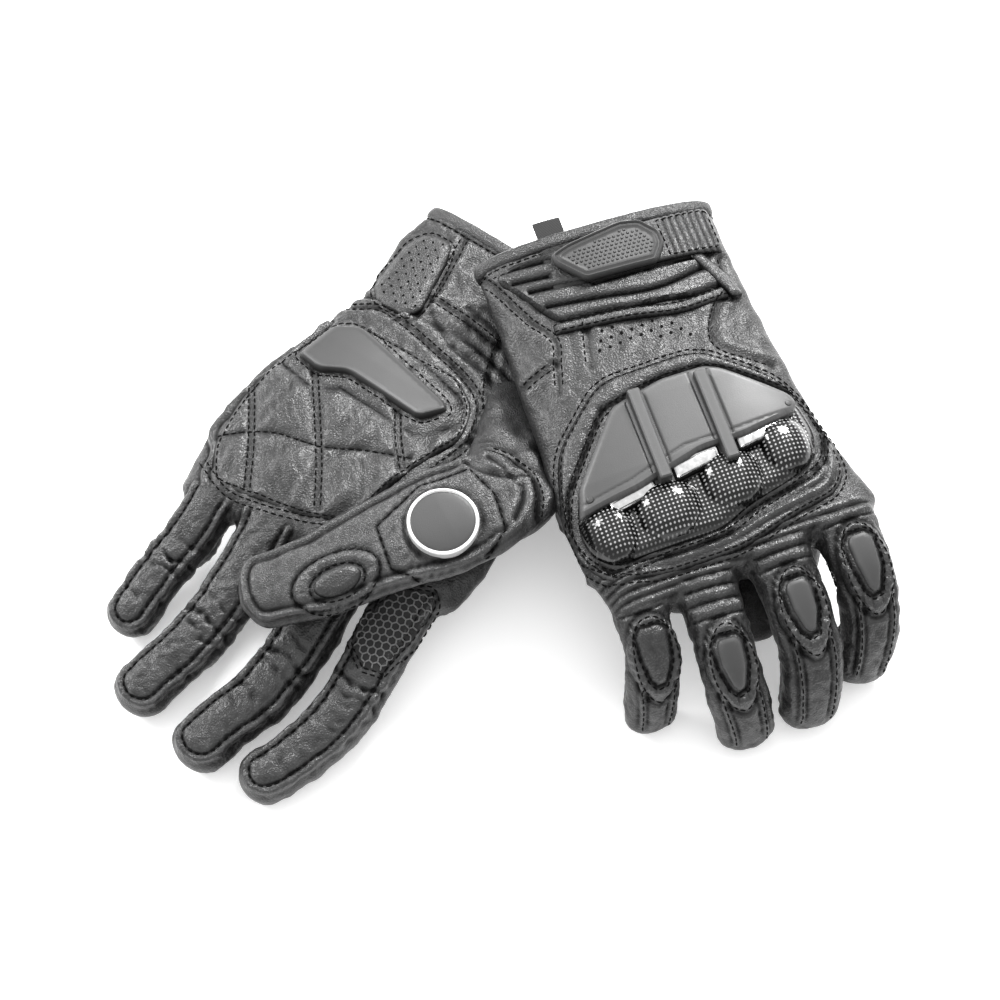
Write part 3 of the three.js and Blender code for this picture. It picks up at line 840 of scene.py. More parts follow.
def pad_place(line, finger):
    """Distance along the finger of the middle of its knuckle pad."""
    f = FINGERS[finger]
    middle = line.length * f["bend"]
    return (9 + middle - 5.2) / 2 + (0 if f["insert"] is None else f["insert"] + 4.5)


def pulp_outline(line, finger):
    """The palm-side panel of a finger, from its root round the fingertip, as a line in (u, s)."""
    start, end, tip_round = -2, line.length - 2.4, 8

    def reach(s, phase=None):
        wave = 0 if phase is None else 0.16 * np.sin(s * 0.27 + phase) + 0.07 * np.sin(s * 0.67 + 2 * phase)
        return finger_size(finger, s / line.length)[0] - PULP_INSET + wave

    up = np.arange(start, end - tip_round, 1.2)
    right = np.stack([reach(up, 1), up], 1)
    left = np.stack([-reach(up, 4), up], 1)
    turn = np.linspace(0, np.pi, 15)[1:-1]
    tip = np.stack([reach(end - tip_round) * np.cos(turn), end - tip_round + tip_round * np.sin(turn)], 1)
    return np.vstack([right, tip, left[::-1]])


def tip_seams(line, finger):
    """Lengthwise seams of the fingertip's back, from the pad to the end, in (u, s)."""
    a = finger_size(finger, 0.9)[0]
    start, end = pad_place(line, finger) + 10, line.length - 7
    s = np.arange(start, end, 1.5)
    bow = 0.62 * a - 0.10 * a * smooth_step(start, end, s)
    return [np.stack([sign * bow, s], 1) for sign in (-1, 1)]


def pad_outline(line, finger, grow=0.0):
    """The stitched teardrop pad on a finger's knuckle, in (u, s)."""
    t = np.linspace(0, 2 * np.pi, 40, endpoint=False)
    rx, ry = PAD_SIZE[0] + grow, PAD_SIZE[1] + grow
    narrow = np.where(np.sin(t) > 0, 1 - 0.28 * np.sin(t) ** 2, 1)
    return np.stack([rx * np.cos(t) * narrow, pad_place(line, finger) + 1.5 + ry * np.sin(t)], 1)


def finger_relief(line, finger, s, u, v, points):
    """Height of a finger's leather over its form."""
    a, b = finger_size(finger, np.clip(s / line.length, 0, 1))
    flat = np.stack([u, s], 1)
    palm = smooth_step(0.0, 0.35, -v / b)
    back = smooth_step(0.0, 0.35, v / b)
    flank = smooth_step(0.72, 0.95, np.abs(u) / a)
    seed = len(finger)
    height = 0.22 * ripple(points, 9, seed) + 0.12 * ripple(points, 4.5, seed + 1)
    pulp = pulp_outline(line, finger)
    d = distance_to(pulp, flat)
    inner = inside(pulp, flat)
    height += palm * (0.65 * bump_line(d, 0.95) - 0.85 * bump_line(d - 1.8, 0.8) * np.where(inner, 1, 0.8))
    middle = line.length * FINGERS[finger]["bend"]
    uneven = ripple(points, 8, seed + 9)
    for place_s, depth in ((middle - 8.5, 0.45), (middle - 1.5, 0.95), (middle + 4, 0.6), (middle + 17, 0.4)):
        across = s - place_s - 1.1 * np.sin(u * 0.3 + place_s) - 0.6 * uneven
        height -= palm * depth * (1 + 0.5 * uneven) * bump_line(across, 1.3)
    pad_d = depth_in(pad_outline(line, finger), flat)
    on_pad = smooth_step(-0.6, 2.2, pad_d)
    height += back * (1.7 * on_pad - 0.9 * bump_line(pad_d + 1.2, 0.9))
    local = np.stack([u, s - pad_place(line, finger)], 1)
    ring = -depth_in(INSERT, local)
    height -= back * 1.1 * bump_line(ring - 1.0, 0.9)
    folds = np.sin(np.arctan2(local[:, 1], u * 1.4) * 21 + 2 * np.sin(u))
    height += back * (0.7 * bump_line(ring - 3.6, 2.0) + 0.24 * folds * bump_line(ring - 3.2, 1.8))
    rib_end = pad_place(line, finger) - PAD_SIZE[1]
    ribs = smooth_step(rib_end + 2.5, rib_end, s) * smooth_step(-9, -5, s) * (1 - flank)
    height += back * ribs * (1.7 * np.abs(np.sin(np.pi * (s - rib_end) / RIB_PITCH)) ** 0.6 - 0.9)
    fading = smooth_step(line.length - 7, line.length - 14, s)
    for seam in tip_seams(line, finger):
        d = distance_to(seam, flat)
        height += back * fading * (0.7 * bump_line(d, 0.8) - 0.6 * bump_line(d - 1.7, 0.8))
    puckers = flank * ripple(points * [1, 1, 0.5], 13, seed + 5) * smooth_step(2, 8, s)
    calm_tip = 1 - 0.75 * smooth_step(line.length - 5, line.length - 1, s)
    return (height + 0.3 * puckers) * calm_tip


# ------------------------------ the skins of one glove

def skin_pieces(hand, lines):
    """The displaced skin with, for each face, the number of the piece that it belongs to."""
    points, quads = joined_skin(hand, lines)
    normals = normals_of(points, quads)
    palm = smooth_step(0.05, 0.45, -normals[:, 2])
    back = smooth_step(0.05, 0.45, normals[:, 2])
    height = palm * palm_relief(points) + back * back_relief(points)
    label = np.zeros(len(points), int)
    best = np.full(len(points), 1.45)
    for index, finger in enumerate(FINGERS):
        line = lines[finger]
        near = np.where(points[:, 1] > 128)[0]
        s, u, v = line.locate(points[near])
        a, b = finger_size(finger, np.clip(s / line.length, 0, 1))
        beyond = np.maximum(s - line.length + TIP_ROUND, 0) / TIP_ROUND
        fit = np.sqrt((u / a) ** 2 + (v / b) ** 2 + beyond**2 * 0.3)
        mine = (fit < best[near]) & (s > -9)
        at = near[mine]
        best[at] = fit[mine]
        share = smooth_step(-7, 1, s[mine]) * smooth_step(1.42, 1.2, fit[mine])
        relief_here = finger_relief(line, finger, s[mine], u[mine], v[mine], points[at])
        height[at] = height[at] * (1 - share) + relief_here * share
        middle = line.length * FINGERS[finger]["bend"] - MIDDLE_MARGIN
        label[at] = np.where(s[mine] > middle, 2 * index + 2, np.where(s[mine] > ROOT_S, 2 * index + 1, 0))
    cuff = smooth_step(0, 3, points[:, 1])
    points = points + normals * (height * cuff)[:, None]
    # lighter ridges (rubbed polish and painted highlight) and painted shade in the grooves and seams
    wear_and_painted_light = detail_of(height, quads, 14)
    faces = label[quads]
    owner = np.where((faces == faces[:, :1]).all(1), faces[:, 0], faces.min(1))
    return points, quads, normals_of(points, quads), wear_and_painted_light, owner


def part_of(points, quads, normals, wear_and_painted_light, chosen):
    """The faces that are chosen, as a shape with its normals."""
    used, faces = faces_alone(quads, chosen, len(points))
    return Shape(points[used], faces, wear_and_painted_light[used]), normals[used]


def blend_at(obj, hand, line, start, end):
    a, b = (place(hand, line.at(s)[0])[0] for s in (start, end))
    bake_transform(obj)


def blend_finger(obj, hand, finger, line, part):
    """Bakes a finger piece's placement into its mesh. It finds the stretch over the knuckle for a base, or
    over the middle joint for an end, but bends nothing.
    """
    middle = line.length * FINGERS[finger]["bend"]
    if part == "base":
        blend_at(obj, hand, line, ROOT_S + 0.2, 2 * KNUCKLE_S)
    else:
        blend_at(obj, hand, line, middle - 5, middle + 5)


def build_skin(hand, lines):
    points, quads, normals, wear_and_painted_light, owner = skin_pieces(hand, lines)
    shape, n = part_of(points, quads, normals, wear_and_painted_light, owner == 0)
    skin = add_piece(f"{hand}_hand_skin", hand, shape, MATERIALS["leather"], normals=n)
    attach(skin, f"{hand}_hand")
    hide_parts(f"{hand}_palm_shell", f"{hand}_back_shell")
    for index, finger in enumerate(FINGERS):
        for part, number in (("base", 2 * index + 1), ("tip", 2 * index + 2)):
            shape, n = part_of(points, quads, normals, wear_and_painted_light, owner == number)
            name = f"{hand}_{finger}_{part}_skin"
            obj = add_piece(name, hand, shape, MATERIALS["leather"], normals=n)
            blend_finger(obj, hand, finger, lines[finger], part)
            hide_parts(f"{hand}_{finger}_{part}")
    whole = Shape(points, quads)
    return whole, tree_of(whole)


# ------------------------------ pieces laid on the skin

def on_hand(hand, side):
    """Mapping of hand (x, y) and a height to a point over the hand's form, for soft layers."""
    return lambda p, h: np.stack([p[:, 0], p[:, 1], surface(hand, p[:, 0], p[:, 1], side, h)], 1)


def over_hand(hand, side):
    """The same, with the height measured straight up, for stiff pieces."""
    def mapping(p, h):
        return np.stack([p[:, 0], p[:, 1], surface(hand, p[:, 0], p[:, 1], side) + side * h], 1)
    return mapping


def on_stall(line, size, side):
    """Mapping of (u, s) and a height to a point over a finger's or thumb's form."""
    def mapping(p, h):
        u, s = p[:, 0], p[:, 1]
        centre, _, across, up = line.at(s)
        a, b = size(np.clip(s / line.length, 0, 1))
        share = dome(s, line.length, TIP_ROUND)
        reach = np.clip(np.abs(u) / ((a + h) * share), 0, 0.999)
        v = (b + h) * share * (1 - reach**FINGER_POWER) ** (1 / FINGER_POWER)
        return centre + across * u[:, None] + side * up * v[:, None]
    return mapping


ROW_STEP = 0.866  # distance of the rows of a triangular grid, in pitches


def triangular_grid(low, high, pitch):
    """Points in rows, every second row moved half a pitch."""
    xs, ys = np.arange(low[0], high[0], pitch), np.arange(low[1], high[1], pitch * ROW_STEP)
    grid = np.stack(np.meshgrid(xs, ys), 2)
    grid[1::2, :, 0] += pitch / 2
    return grid.reshape(-1, 2)


def triangulated(loop, extra):
    """Triangles inside a closed loop of 2-D points, through extra points too."""
    points = [Vector(p) for p in np.vstack([loop, extra])]
    made = delaunay_2d_cdt(points, [], [list(range(len(loop)))], 1, 1e-5)
    return np.array([tuple(v) for v in made[0]]), [list(f) for f in made[2]]


def rim_of(faces):
    """The boundary edges of a set of faces, each in the direction of its face."""
    edges = {}
    for f in faces:
        for p, q in zip(f, f[1:] + f[:1]):
            edges[(p, q)] = True
    return [(p, q) for p, q in edges if (q, p) not in edges]


def field_points(loop, step, rings):
    """Points inside a loop: rings at set distances from its edge, and a triangular grid within them."""
    low, high = loop.min(0), loop.max(0)
    grid = triangular_grid(low, high, step)
    made = [grid[depth_in(loop, grid) > rings[-1] + 0.5 * step]]
    for distance in rings:
        ring = grown(loop, -distance)
        made.append(ring[depth_in(loop, ring) > 0.85 * distance])
    return np.vstack(made)


def relief(outline, mapping, height, radius=1.5, step=0.8, foot=-0.8, rings=(0.3, 0.9)):
    """A closed solid over an outline. height(points, depth) is its top over the mapped surface."""
    loop = rounded(outline, radius, step) if radius else np.asarray(outline, float)
    flat, faces = triangulated(loop, field_points(loop, step, rings))
    depth = np.maximum(depth_in(loop, flat), 0)
    tops = height(flat, depth)
    top = mapping(flat, tops)
    rim = rim_of(faces)
    rim_points = sorted({p for e in rim for p in e})
    lower = {p: len(flat) + i for i, p in enumerate(rim_points)}
    points = np.vstack([top, mapping(flat[rim_points], np.full(len(rim_points), float(foot)))])
    walls = [[q, p, lower[p], lower[q]] for p, q in rim]
    chain = dict(rim)
    start = rim[0][0]
    cycle, at = [start], chain[start]
    while at != start and len(cycle) <= len(rim):
        cycle.append(at)
        at = chain[at]
    faces = faces + walls + [[lower[p] for p in reversed(cycle)]]
    a, b, c = (top[i] for i in faces[0][:3])
    outward = mapping(flat[:1], tops[:1] + 1)[0] - top[0]
    if np.cross(b - a, c - a) @ outward < 0:
        faces = [f[::-1] for f in faces]
    inner = np.array([f for f in faces if max(f) < len(flat)])
    # the top's rise over its surroundings, and -0.6 along the foot of the walls, which paints the walls
    # darker as painted shade
    wear_and_painted_light = np.concatenate([detail_of(tops, inner, 8), np.full(len(rim_points), -0.6)])
    cloth = np.vstack([flat, flat[rim_points]])
    return Shape(points, faces, wear_and_painted_light, cloth)


def profile(*steps):
    """A height that follows straight steps of (depth, height) in from the edge."""
    depths, heights = zip(*steps)
    return lambda p, d: np.interp(d, depths, heights)


def lay_piece(name, hand, body, shape, material, nodes=(), crease=40):
    """A named piece of one glove: the body that it rides on, if it doesn't bend, and what it replaces."""
    obj = add_piece(f"{hand}_{name}", hand, shape, MATERIALS[material], crease)
    if body is not None:
        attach(obj, f"{hand}_{body}")
    if nodes:
        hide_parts(*[f"{hand}_{n}" for n in nodes])
    return obj


# ------------------------------ stitches, perforations and cords

def met(tree, lines, lift, reach):
    """Points and outward normals where lines (origin, direction) from outside meet the surface."""
    found = []
    for origin, direction in lines:
        hit, normal, _, _ = tree.ray_cast(origin, direction, reach)
        if hit is not None:
            normal = normal if normal.dot(direction) < 0 else -normal
            found.append([*(hit + normal * lift), *normal])
    return np.array(found).reshape(-1, 6)


def drape(tree, flat, side, lift=0.0, reach=80):
    """Points and normals where straight lines from above the palm or back meet the surface."""
    lines = [(Vector((x, y, side * reach)), Vector((0, 0, -side))) for x, y in flat]
    return met(tree, lines, lift, 2 * reach)


def drape_stall(tree, line, flat, side, lift=0.0, reach=22):
    """The same over a finger: each point (u, s) looks at the finger from its palm or back side."""
    lines = []
    for u, s in flat:
        centre, _, across, up = (v[0] for v in line.at(s))
        lines.append((Vector(centre + across * u + side * up * reach), Vector(-side * up)))
    return met(tree, lines, lift, reach)


def rod(points, normals, radii, sides=6):
    """A round bar through points, with closed ends."""
    points = np.asarray(points, float)
    tangent = np.gradient(points, axis=0)
    tangent /= np.maximum(np.linalg.norm(tangent, axis=1), 1e-9)[:, None]
    up = normals - (normals * tangent).sum(1)[:, None] * tangent
    up /= np.maximum(np.linalg.norm(up, axis=1), 1e-9)[:, None]
    side = np.cross(tangent, up)
    angle = np.arange(sides) / sides * 2 * np.pi
    rings = [
        p + r * (np.outer(np.cos(angle), a) + np.outer(np.sin(angle), b))
        for p, a, b, r in zip(points, side, up, np.broadcast_to(radii, len(points)))
    ]
    return loft(rings)


STITCH_RISE = np.array([-0.30, 0.02, 0.16, 0.02, -0.30])  # height of a stitch's points over the leather
STITCH_TAPER = np.array([0.5, 1, 1.05, 1, 0.5])


def stitch_row(track, radius=STITCH_RADIUS):
    """Thread stitches along a track of points and normals. Each dips into the leather at its ends."""
    if len(track) < 3:
        return []
    run = np.concatenate([[0], np.cumsum(np.linalg.norm(np.diff(track[:, :3], axis=0), axis=1))])
    made = []
    for start in np.arange(0.3, run[-1] - STITCH, STITCH_PITCH):
        at = start + STITCH * np.array([0, 0.16, 0.5, 0.84, 1])
        p = np.stack([np.interp(at, run, track[:, k]) for k in range(6)], 1)
        normal = p[:, 3:]
        made.append(rod(p[:, :3] + normal * STITCH_RISE[:, None], normal, radius * STITCH_TAPER))
    return made


def sewn(tree, tracks, side, radius=STITCH_RADIUS):
    """Stitches along flat tracks, on one side of the hand."""
    made = []
    for flat in tracks:
        made += stitch_row(drape(tree, flat, side), radius)
    return made


def rows_of(line, rows, closed=False):
    """One or two tracks beside a line."""
    line = resample(looped(line) if closed else line, 1.0)
    return [line] if rows == 1 else [shifted(line, ROW_GAP), shifted(line, -ROW_GAP)]


def beside_seam(line, rows):
    """Tracks for the stitches of a seam of the skin: a single row lies to one side of its groove."""
    line = resample(catmull_rom(line, 1.0), 1.0)
    return [shifted(line, 1.7)] if rows == 1 else [shifted(line, 1.5), shifted(line, -1.5)]


def dots(tree, flat, side, radius, lift=0.05, dome_height=-0.12):
    """Small rounds on the surface: perforations, which are dished, or studs, which stand up."""
    made = []
    angle = np.arange(8) / 8 * 2 * np.pi
    for row in drape(tree, flat, side, lift):
        p, n = row[:3], row[3:]
        a = np.cross(n, [0.0, 1, 0.3])
        a /= np.linalg.norm(a)
        ring = np.outer(np.cos(angle), a) + np.outer(np.sin(angle), np.cross(n, a))
        steps = ((1, -0.25), (1.05, 0.0), (0.5, dome_height))  # share of the radius, height
        made.append(loft([p + n * h + radius * share * ring for share, h in steps]))
    return made


def lattice(outline, pitch, inset=1.5, turn=0.0):
    """A triangular grid of points inside an outline, turned about its middle."""
    o = np.asarray(outline, float)
    margin = 20  # so that the turned grid still covers the outline
    middle = o.mean(0)
    c, s = math.cos(turn), math.sin(turn)
    grid = triangular_grid(o.min(0) - margin, o.max(0) + margin, pitch)
    grid = (grid - middle) @ np.array([[c, s], [-s, c]]) + middle
    return grid[depth_in(outline, grid) > inset]


# ------------------------------ palm pieces

QUILT_LINES = [
    ([(33, 94), (20, 109), (6, 126), (-4, 140)], 2),
    ([(50, 112), (34, 132), (22, 150)], 2),
    ([(-4, 90), (-12, 100), (-20, 108)], 2),
    ([(47, 137), (30, 125), (10.5, 119), (-5, 110), (-20, 103)], 1),
    ([(46, 148), (30, 154), (16, 152), (-2, 146), (-16, 139)], 2),
]


def quilt_height(p, d):
    """The quilted palm: a crowned field, pulled down along its sewn lines and around the slider's border."""
    lines = np.full(len(p), 99.0)
    for line, rows in QUILT_LINES:
        away = distance_to(catmull_rom(line, 1.5), p) - (ROW_GAP if rows == 2 else 0)
        lines = np.minimum(lines, np.maximum(away, 0))
    border = np.abs(-depth_in(SLIDER, p) - 6.5)
    border = np.where(p[:, 1] > 84, np.minimum(border, 9), border)
    lines = np.minimum(lines, border)
    puff = 1 - np.exp(-lines / 3.0)
    folds = ripple(np.stack([p[:, 0], p[:, 1] * 0.6, 0 * d], 1), 11, 21)
    creases = ripple(np.stack([p[:, 0] + p[:, 1], (p[:, 0] - p[:, 1]) * 0.25, 0 * d], 1), 3.5, 22)
    edge = np.minimum(1, np.sqrt(np.maximum(d, 0) / 2.4))
    return edge * (0.6 + 2.0 * puff + (0.75 * folds + 0.12 * creases) * puff)


def build_palm(hand, skin):
    soft, stiff = on_hand(hand, PALM), over_hand(hand, PALM)
    quilt = relief(QUILT, soft, quilt_height, radius=5, step=0.75)
    lay_piece("palm_quilt", hand, "hand", quilt, "leather", ["palm_quilt"])
    slider_top = profile((0, 1.9), (0.25, 3.0), (1.1, 4.4), (1.5, 4.6), (2.4, 4.3))
    slider = relief(SLIDER, stiff, slider_top, radius=3, step=0.8, rings=(0.25, 1.1, 1.5, 2.4))
    lay_piece("palm_slider", hand, "hand", slider, "plastic", ["palm_slider"], crease=28)
    heel = relief(HEEL, soft, lambda p, d: 0.3 + 2.0 * np.sqrt(np.clip(d / 3.0, 0, 1)), radius=5)
    lay_piece("heel_pad", hand, "hand", heel, "pad", ["heel_pad"])
    tree = tree_of(quilt, heel, skin)
    tracks = []
    for line, rows in QUILT_LINES:
        tracks += rows_of(catmull_rom(line, 1.0), rows)
    for outline, away in ((SLIDER, 1.6), (HEEL, 1.3), (QUILT, -1.6)):
        tracks += rows_of(rounded(grown(outline, away), 4, 1.0), 1, closed=True)
    for line, _, rows in PALM_SEAMS:
        for row in beside_seam(line, rows):
            tracks.append(row[(depth_in(QUILT, row) < 0) & (depth_in(HEEL, row) < 0)])
    return sewn(tree, tracks, PALM), dots(tree, lattice(HEEL, 4.0, 2.6, 0.35), PALM, 0.45, 0.2)


NET_PATCH = [  # the net at the root of the forefinger's palm side, on the left glove in its hand's x and y
    (-44.8, 172.7), (-42.1, 161.8), (-48.4, 146.8), (-58, 139.8), (-61.8, 143), (-63.1, 160.8),
    (-61.4, 176.2), (-54.6, 178.2),
]
NET_CELL = 3.0


def net_outline():
    """The net's outline in the forefinger's own u and s, which both gloves share."""
    line = Line(FINGER_LINES["left"]["index"])
    flat = np.array(NET_PATCH)
    s, u, _ = line.locate(np.stack([flat[:, 0], flat[:, 1], 0 * flat[:, 0]], 1))
    return ordered(np.stack([u, s], 1))


def net_cords(tree, line, outline):
    """A honeycomb net: three cords for each cell."""
    made = []
    angle = np.radians((45, 105, 165, 225))
    corners_of = NET_CELL / math.sqrt(3) * np.stack([np.cos(angle), np.sin(angle)], 1)
    for cell in lattice(outline, NET_CELL, -2, 0.25):
        corners = cell + corners_of
        for a, b in zip(corners, corners[1:]):
            row = np.linspace(a, b, 4)
            if (depth_in(outline, row) > 0.2).all():
                track = drape_stall(tree, line, row, PALM, 0.2)
                if len(track) == 4:
                    made.append(rod(track[:, :3], track[:, 3:], 0.3, 5))
    return made


def on_finger_skin(tree, line, side):
    """Mapping of (u, s) and a height to a point over the finished skin of a finger."""
    def mapping(p, h):
        heights = np.broadcast_to(np.asarray(h, float), len(p))
        made = []
        for flat, lift in zip(p, heights):
            hit = drape_stall(tree, line, [flat], side, lift)
            centre, _, across, _ = (v[0] for v in line.at(flat[1]))
            made.append(hit[0, :3] if len(hit) else centre + across * flat[0])
        return np.array(made)
    return mapping


def build_net(hand, line, tree):
    outline = net_outline()
    backing = relief(outline, on_finger_skin(tree, line, PALM), lambda p, d: 0.1 + 0 * d, radius=1, step=1.2)
    cords = joined(net_cords(tree, line, outline))
    sheet = add_piece(f"{hand}_index_net_backing", hand, backing, MATERIALS["hook"], 60)
    net = add_piece(f"{hand}_index_net", hand, cords, MATERIALS["net"])
    border = resample(looped(outline), 1.0)
    rows = []
    for row in (border, shifted(border, 1.6), shifted(border, -1.6)):
        keep = depth_in(outline, row) < 0.5
        rows += stitch_row(drape_stall(tree, line, row[keep], PALM))
    thread = add_piece(f"{hand}_index_net_stitching", hand, joined(rows), MATERIALS["thread"])
    for obj in (sheet, net, thread):
        blend_finger(obj, hand, "index", line, "base")


# ------------------------------ knuckle armour

def ridge_outline(x):
    return [(x - 2.5, 81), (x + 2.5, 81), (x + 2.5, 119), (x - 2.5, 119)]


def cap_height(p, d):
    """The carbon cap: four domes that rise out of a lipped base, cut flat under the guard plate."""
    base = np.interp(d, (0, 0.4, 2.0, 2.8, 4.5), (0.6, 2.2, 2.4, 3.6, 4.2))
    domes = np.full(len(p), -5.0)
    for x, y, r in BUMPS:
        q = (np.abs(p[:, 0] - x) / (r + 0.5)) ** 2.4 + (np.abs(p[:, 1] - y) / BUMP_REACH) ** 2.4
        domes = np.maximum(domes, 1.5 + 8.3 * np.maximum(1 - q**1.1, 0) ** 0.55 - 3 * (q > 1))
    tops = np.maximum(base, domes)
    return np.where(depth_in(grown(PLATE, 0.4), p) > 0, np.minimum(tops, 6.4), tops)


def guard_height(p, d):
    """The guard plate: a bevelled edge, a flat raised field and grooves beside the two ridges."""
    tops = np.interp(d, (0, 0.3, 1.6, 2.1), (6.6, 8.4, 9.6, 9.7))
    for x in RIDGES:
        tops = tops - 0.5 * bump_line(np.abs(p[:, 0] - x) - 3.6, 0.45) * (d > 2)
    facet = distance_to([(-45, 104), (-20, 106.5), (2, 107.5), (25, 114.5), (47, 118)], p)
    return tops - 0.35 * bump_line(facet, 0.5) * (d > 1.5)


WINDOWS = [  # the bright vents between the plate and the cap
    [(35.5, 119.5), (34.5, 124), (17, 121.2), (17.5, 115)],
    [(8.8, 112), (8.8, 119), (-9.3, 115.6), (-9.3, 110.5)],
    [(-17.3, 108.5), (-17.3, 114.5), (-37, 110.8), (-36, 105)],
]


def surround_height(p, d):
    """The padded leather round the armour: a crowned band, with wrinkles along its front."""
    inner = np.maximum(-depth_in(ARMOUR, p), 0)
    seam = np.abs(inner - 2.4)
    band = np.clip((inner - 2.4) / np.maximum(d + inner - 2.4, 0.5), 0, 1)
    crown = np.sin(np.pi * band) ** 0.7
    front = smooth_step(118, 136, p[:, 1])
    wrinkles = np.sin(d * 1.7 + 1.1 * np.sin(p[:, 0] * 0.12)) * front
    folds = ripple(np.stack([p[:, 0], p[:, 1], 0 * d], 1), 9, 31)
    rise = np.minimum(1, np.sqrt(np.maximum(d, 0) / 1.6))
    return rise * (1.1 + 1.5 * crown + 0.45 * wrinkles + 0.15 * folds - 0.7 * bump_line(seam, 1.3))


def build_guard(hand, stiff):
    """The guard plate with its two level ridges and two rivets."""
    top = surface(hand, 0, GUARD_Y, BACK) + GUARD_HEIGHT

    def bar_height(p, d):
        level = top - surface(hand, p[:, 0], p[:, 1], BACK)
        return level - np.interp(d, (0, 0.25, 0.8), (1.4, 0.45, 0))

    parts = [relief(PLATE, stiff, guard_height, radius=2.2, step=0.5, foot=6.3, rings=(0.3, 1.6, 2.1))]
    for x in RIDGES:
        parts.append(relief(ridge_outline(x), stiff, bar_height, 0.9, 0.7, foot=4.5, rings=(0.25, 0.8)))
    guard = joined(parts)
    lay_piece("knuckle_guard", hand, "hand", guard, "guard", ["knuckle_guard"], crease=28)
    rivet_top = profile((0, 9.6), (0.3, 10.1), (1.4, 10.3))
    rivets = [
        relief(ellipse(x, y, 1.4, 1.4, 12), stiff, rivet_top, radius=0, step=0.5, foot=9, rings=(0.3, 0.7))
        for x, y in RIVETS
    ]
    lay_piece("guard_rivets", hand, "hand", joined(rivets), "plastic", crease=40)


def build_armour(hand, skin):
    soft, stiff = on_hand(hand, BACK), over_hand(hand, BACK)
    surround = relief(SURROUND, soft, surround_height, radius=8, step=0.8)
    lay_piece("knuckle_surround", hand, "hand", surround, "leather", ["knuckle_surround"])
    cap = relief(CAP, stiff, cap_height, radius=5, step=0.6, rings=(0.4, 1.2, 2.0, 2.8))
    # painted shade on the cap's lip and wall: -1 up to 2.4 mm in from its edge, 0 from 3.6 mm in
    cap.wear_and_painted_light = np.clip(depth_in(CAP, cap.cloth) / 1.2 - 3, -1, 0)
    lay_piece("knuckle_cap", hand, "hand", cap, "carbon", ["knuckle_cap"], crease=60)
    vents = relief(VENTS, stiff, profile((0, 4.4), (0.3, 6.2), (0.8, 6.5)), radius=1.5, step=1.0, foot=3.6)
    lay_piece("knuckle_vents", hand, "hand", vents, "plastic", ["knuckle_vents"])
    window_top = profile((0, 6.9), (0.35, 7.5), (0.9, 7.2), (1.6, 7.3))
    edge_top = profile((0, 6.3), (0.3, 6.9), (0.8, 7.0))
    windows, edges = [], []
    for window in WINDOWS:
        around = ordered(grown(window, 0.7))
        windows.append(relief(ordered(window), stiff, window_top, 1, 0.8, foot=6.2, rings=(0.35, 0.9, 1.6)))
        edges.append(relief(around, stiff, edge_top, 1.4, 1.0, foot=5.4))
    lay_piece("vent_windows", hand, "hand", joined(windows), "bright", crease=30)
    lay_piece("vent_surrounds", hand, "hand", joined(edges), "hole", crease=30)
    build_guard(hand, stiff)
    tree = tree_of(surround, skin)
    tracks = []
    for outline, away, rows, radius in ((ARMOUR, 2.4, 2, 7), (SURROUND, -1.2, 1, 8), (SURROUND, 1.5, 1, 8)):
        tracks += rows_of(rounded(grown(outline, away), radius, 1.0), rows, closed=True)
    return sewn(tree, tracks, BACK)


# ------------------------------ wrist, strap and cuff

RIB_LINES = [
    [(44, 9), (22, 11.5)],
    [(38, 15.8), (24, 18)],
    [(33, 22), (7, 25), (-14, 25.5), (-34, 23.5)],
    [(29, 30.5), (8, 33.5), (-14, 36), (-36, 31.5)],
    [(26.5, 38.3), (6, 40), (-18, 43.5), (-39, 41)],
]
PERFORATED = [(17, 43.5), (0, 45.5), (-18, 48.5), (-24, 63.5), (-8, 58.5), (10, 57.5), (21, 59)]
RIBBED = [(42, 14), (44, 7.5), (24, 7.5), (-37, 7.5), (-38.5, 27), (-39, 40), (-34, 44), (16, 40), (27, 38.5)]


def ribs_height(p, d):
    grooves = np.full(len(p), 99.0)
    for line in RIB_LINES:
        grooves = np.minimum(grooves, distance_to(catmull_rom(line, 1.5), p))
    puff = 1 - np.exp(-((grooves / 1.0) ** 1.3))
    folds = ripple(np.stack([p[:, 0] * 0.5, p[:, 1], 0 * d], 1), 9, 41)
    rise = np.minimum(1, np.sqrt(np.maximum(d, 0) / 1.5))
    under_strap = smooth_step(1.5, -0.5, np.maximum(p[:, 0] - 9, p[:, 1] - 27))
    open_height = rise * (0.4 + 2.5 * puff + 0.2 * folds * puff)
    return open_height * (1 - under_strap) + 0.2 * under_strap


# The strap's grip tab: two rims round a sunken field, which holds the studs.
TAB_PROFILE = [
    (0, 4.6), (0.25, 6), (1, 7), (1.3, 6.9), (1.7, 6.1), (2.1, 6.1), (2.9, 6.8), (3.2, 6.7), (3.6, 6.2),
]


def band_height(p, d):
    """The strap: a plain band under the tab, and fine ribs across it towards its root."""
    ribs = np.abs(np.sin(np.pi * p[:, 0] / 2.8)) ** 0.6
    ribbed = smooth_step(-22, -24, p[:, 0])
    return np.interp(d, (0, 0.4, 1.2), (2.9, 3.9, 4.3)) - 0.9 * ribbed * (1 - ribs)


def hook_height(p, d):
    """Rows of small hooks or loops."""
    return 1.2 + 0.25 * np.sin(p[:, 0] * 3.9) * np.sin(p[:, 1] * 3.9) + np.minimum(d, 0.4)


def cuff_ring(hand, y, offset, count=160):
    cx, cz, a, b = section(hand, max(y, 0))
    c, s = superellipse(count, SHELL_POWER)
    return np.stack([cx + (a + offset) * c, np.full(count, float(y)), cz + (b + offset) * s], 1)


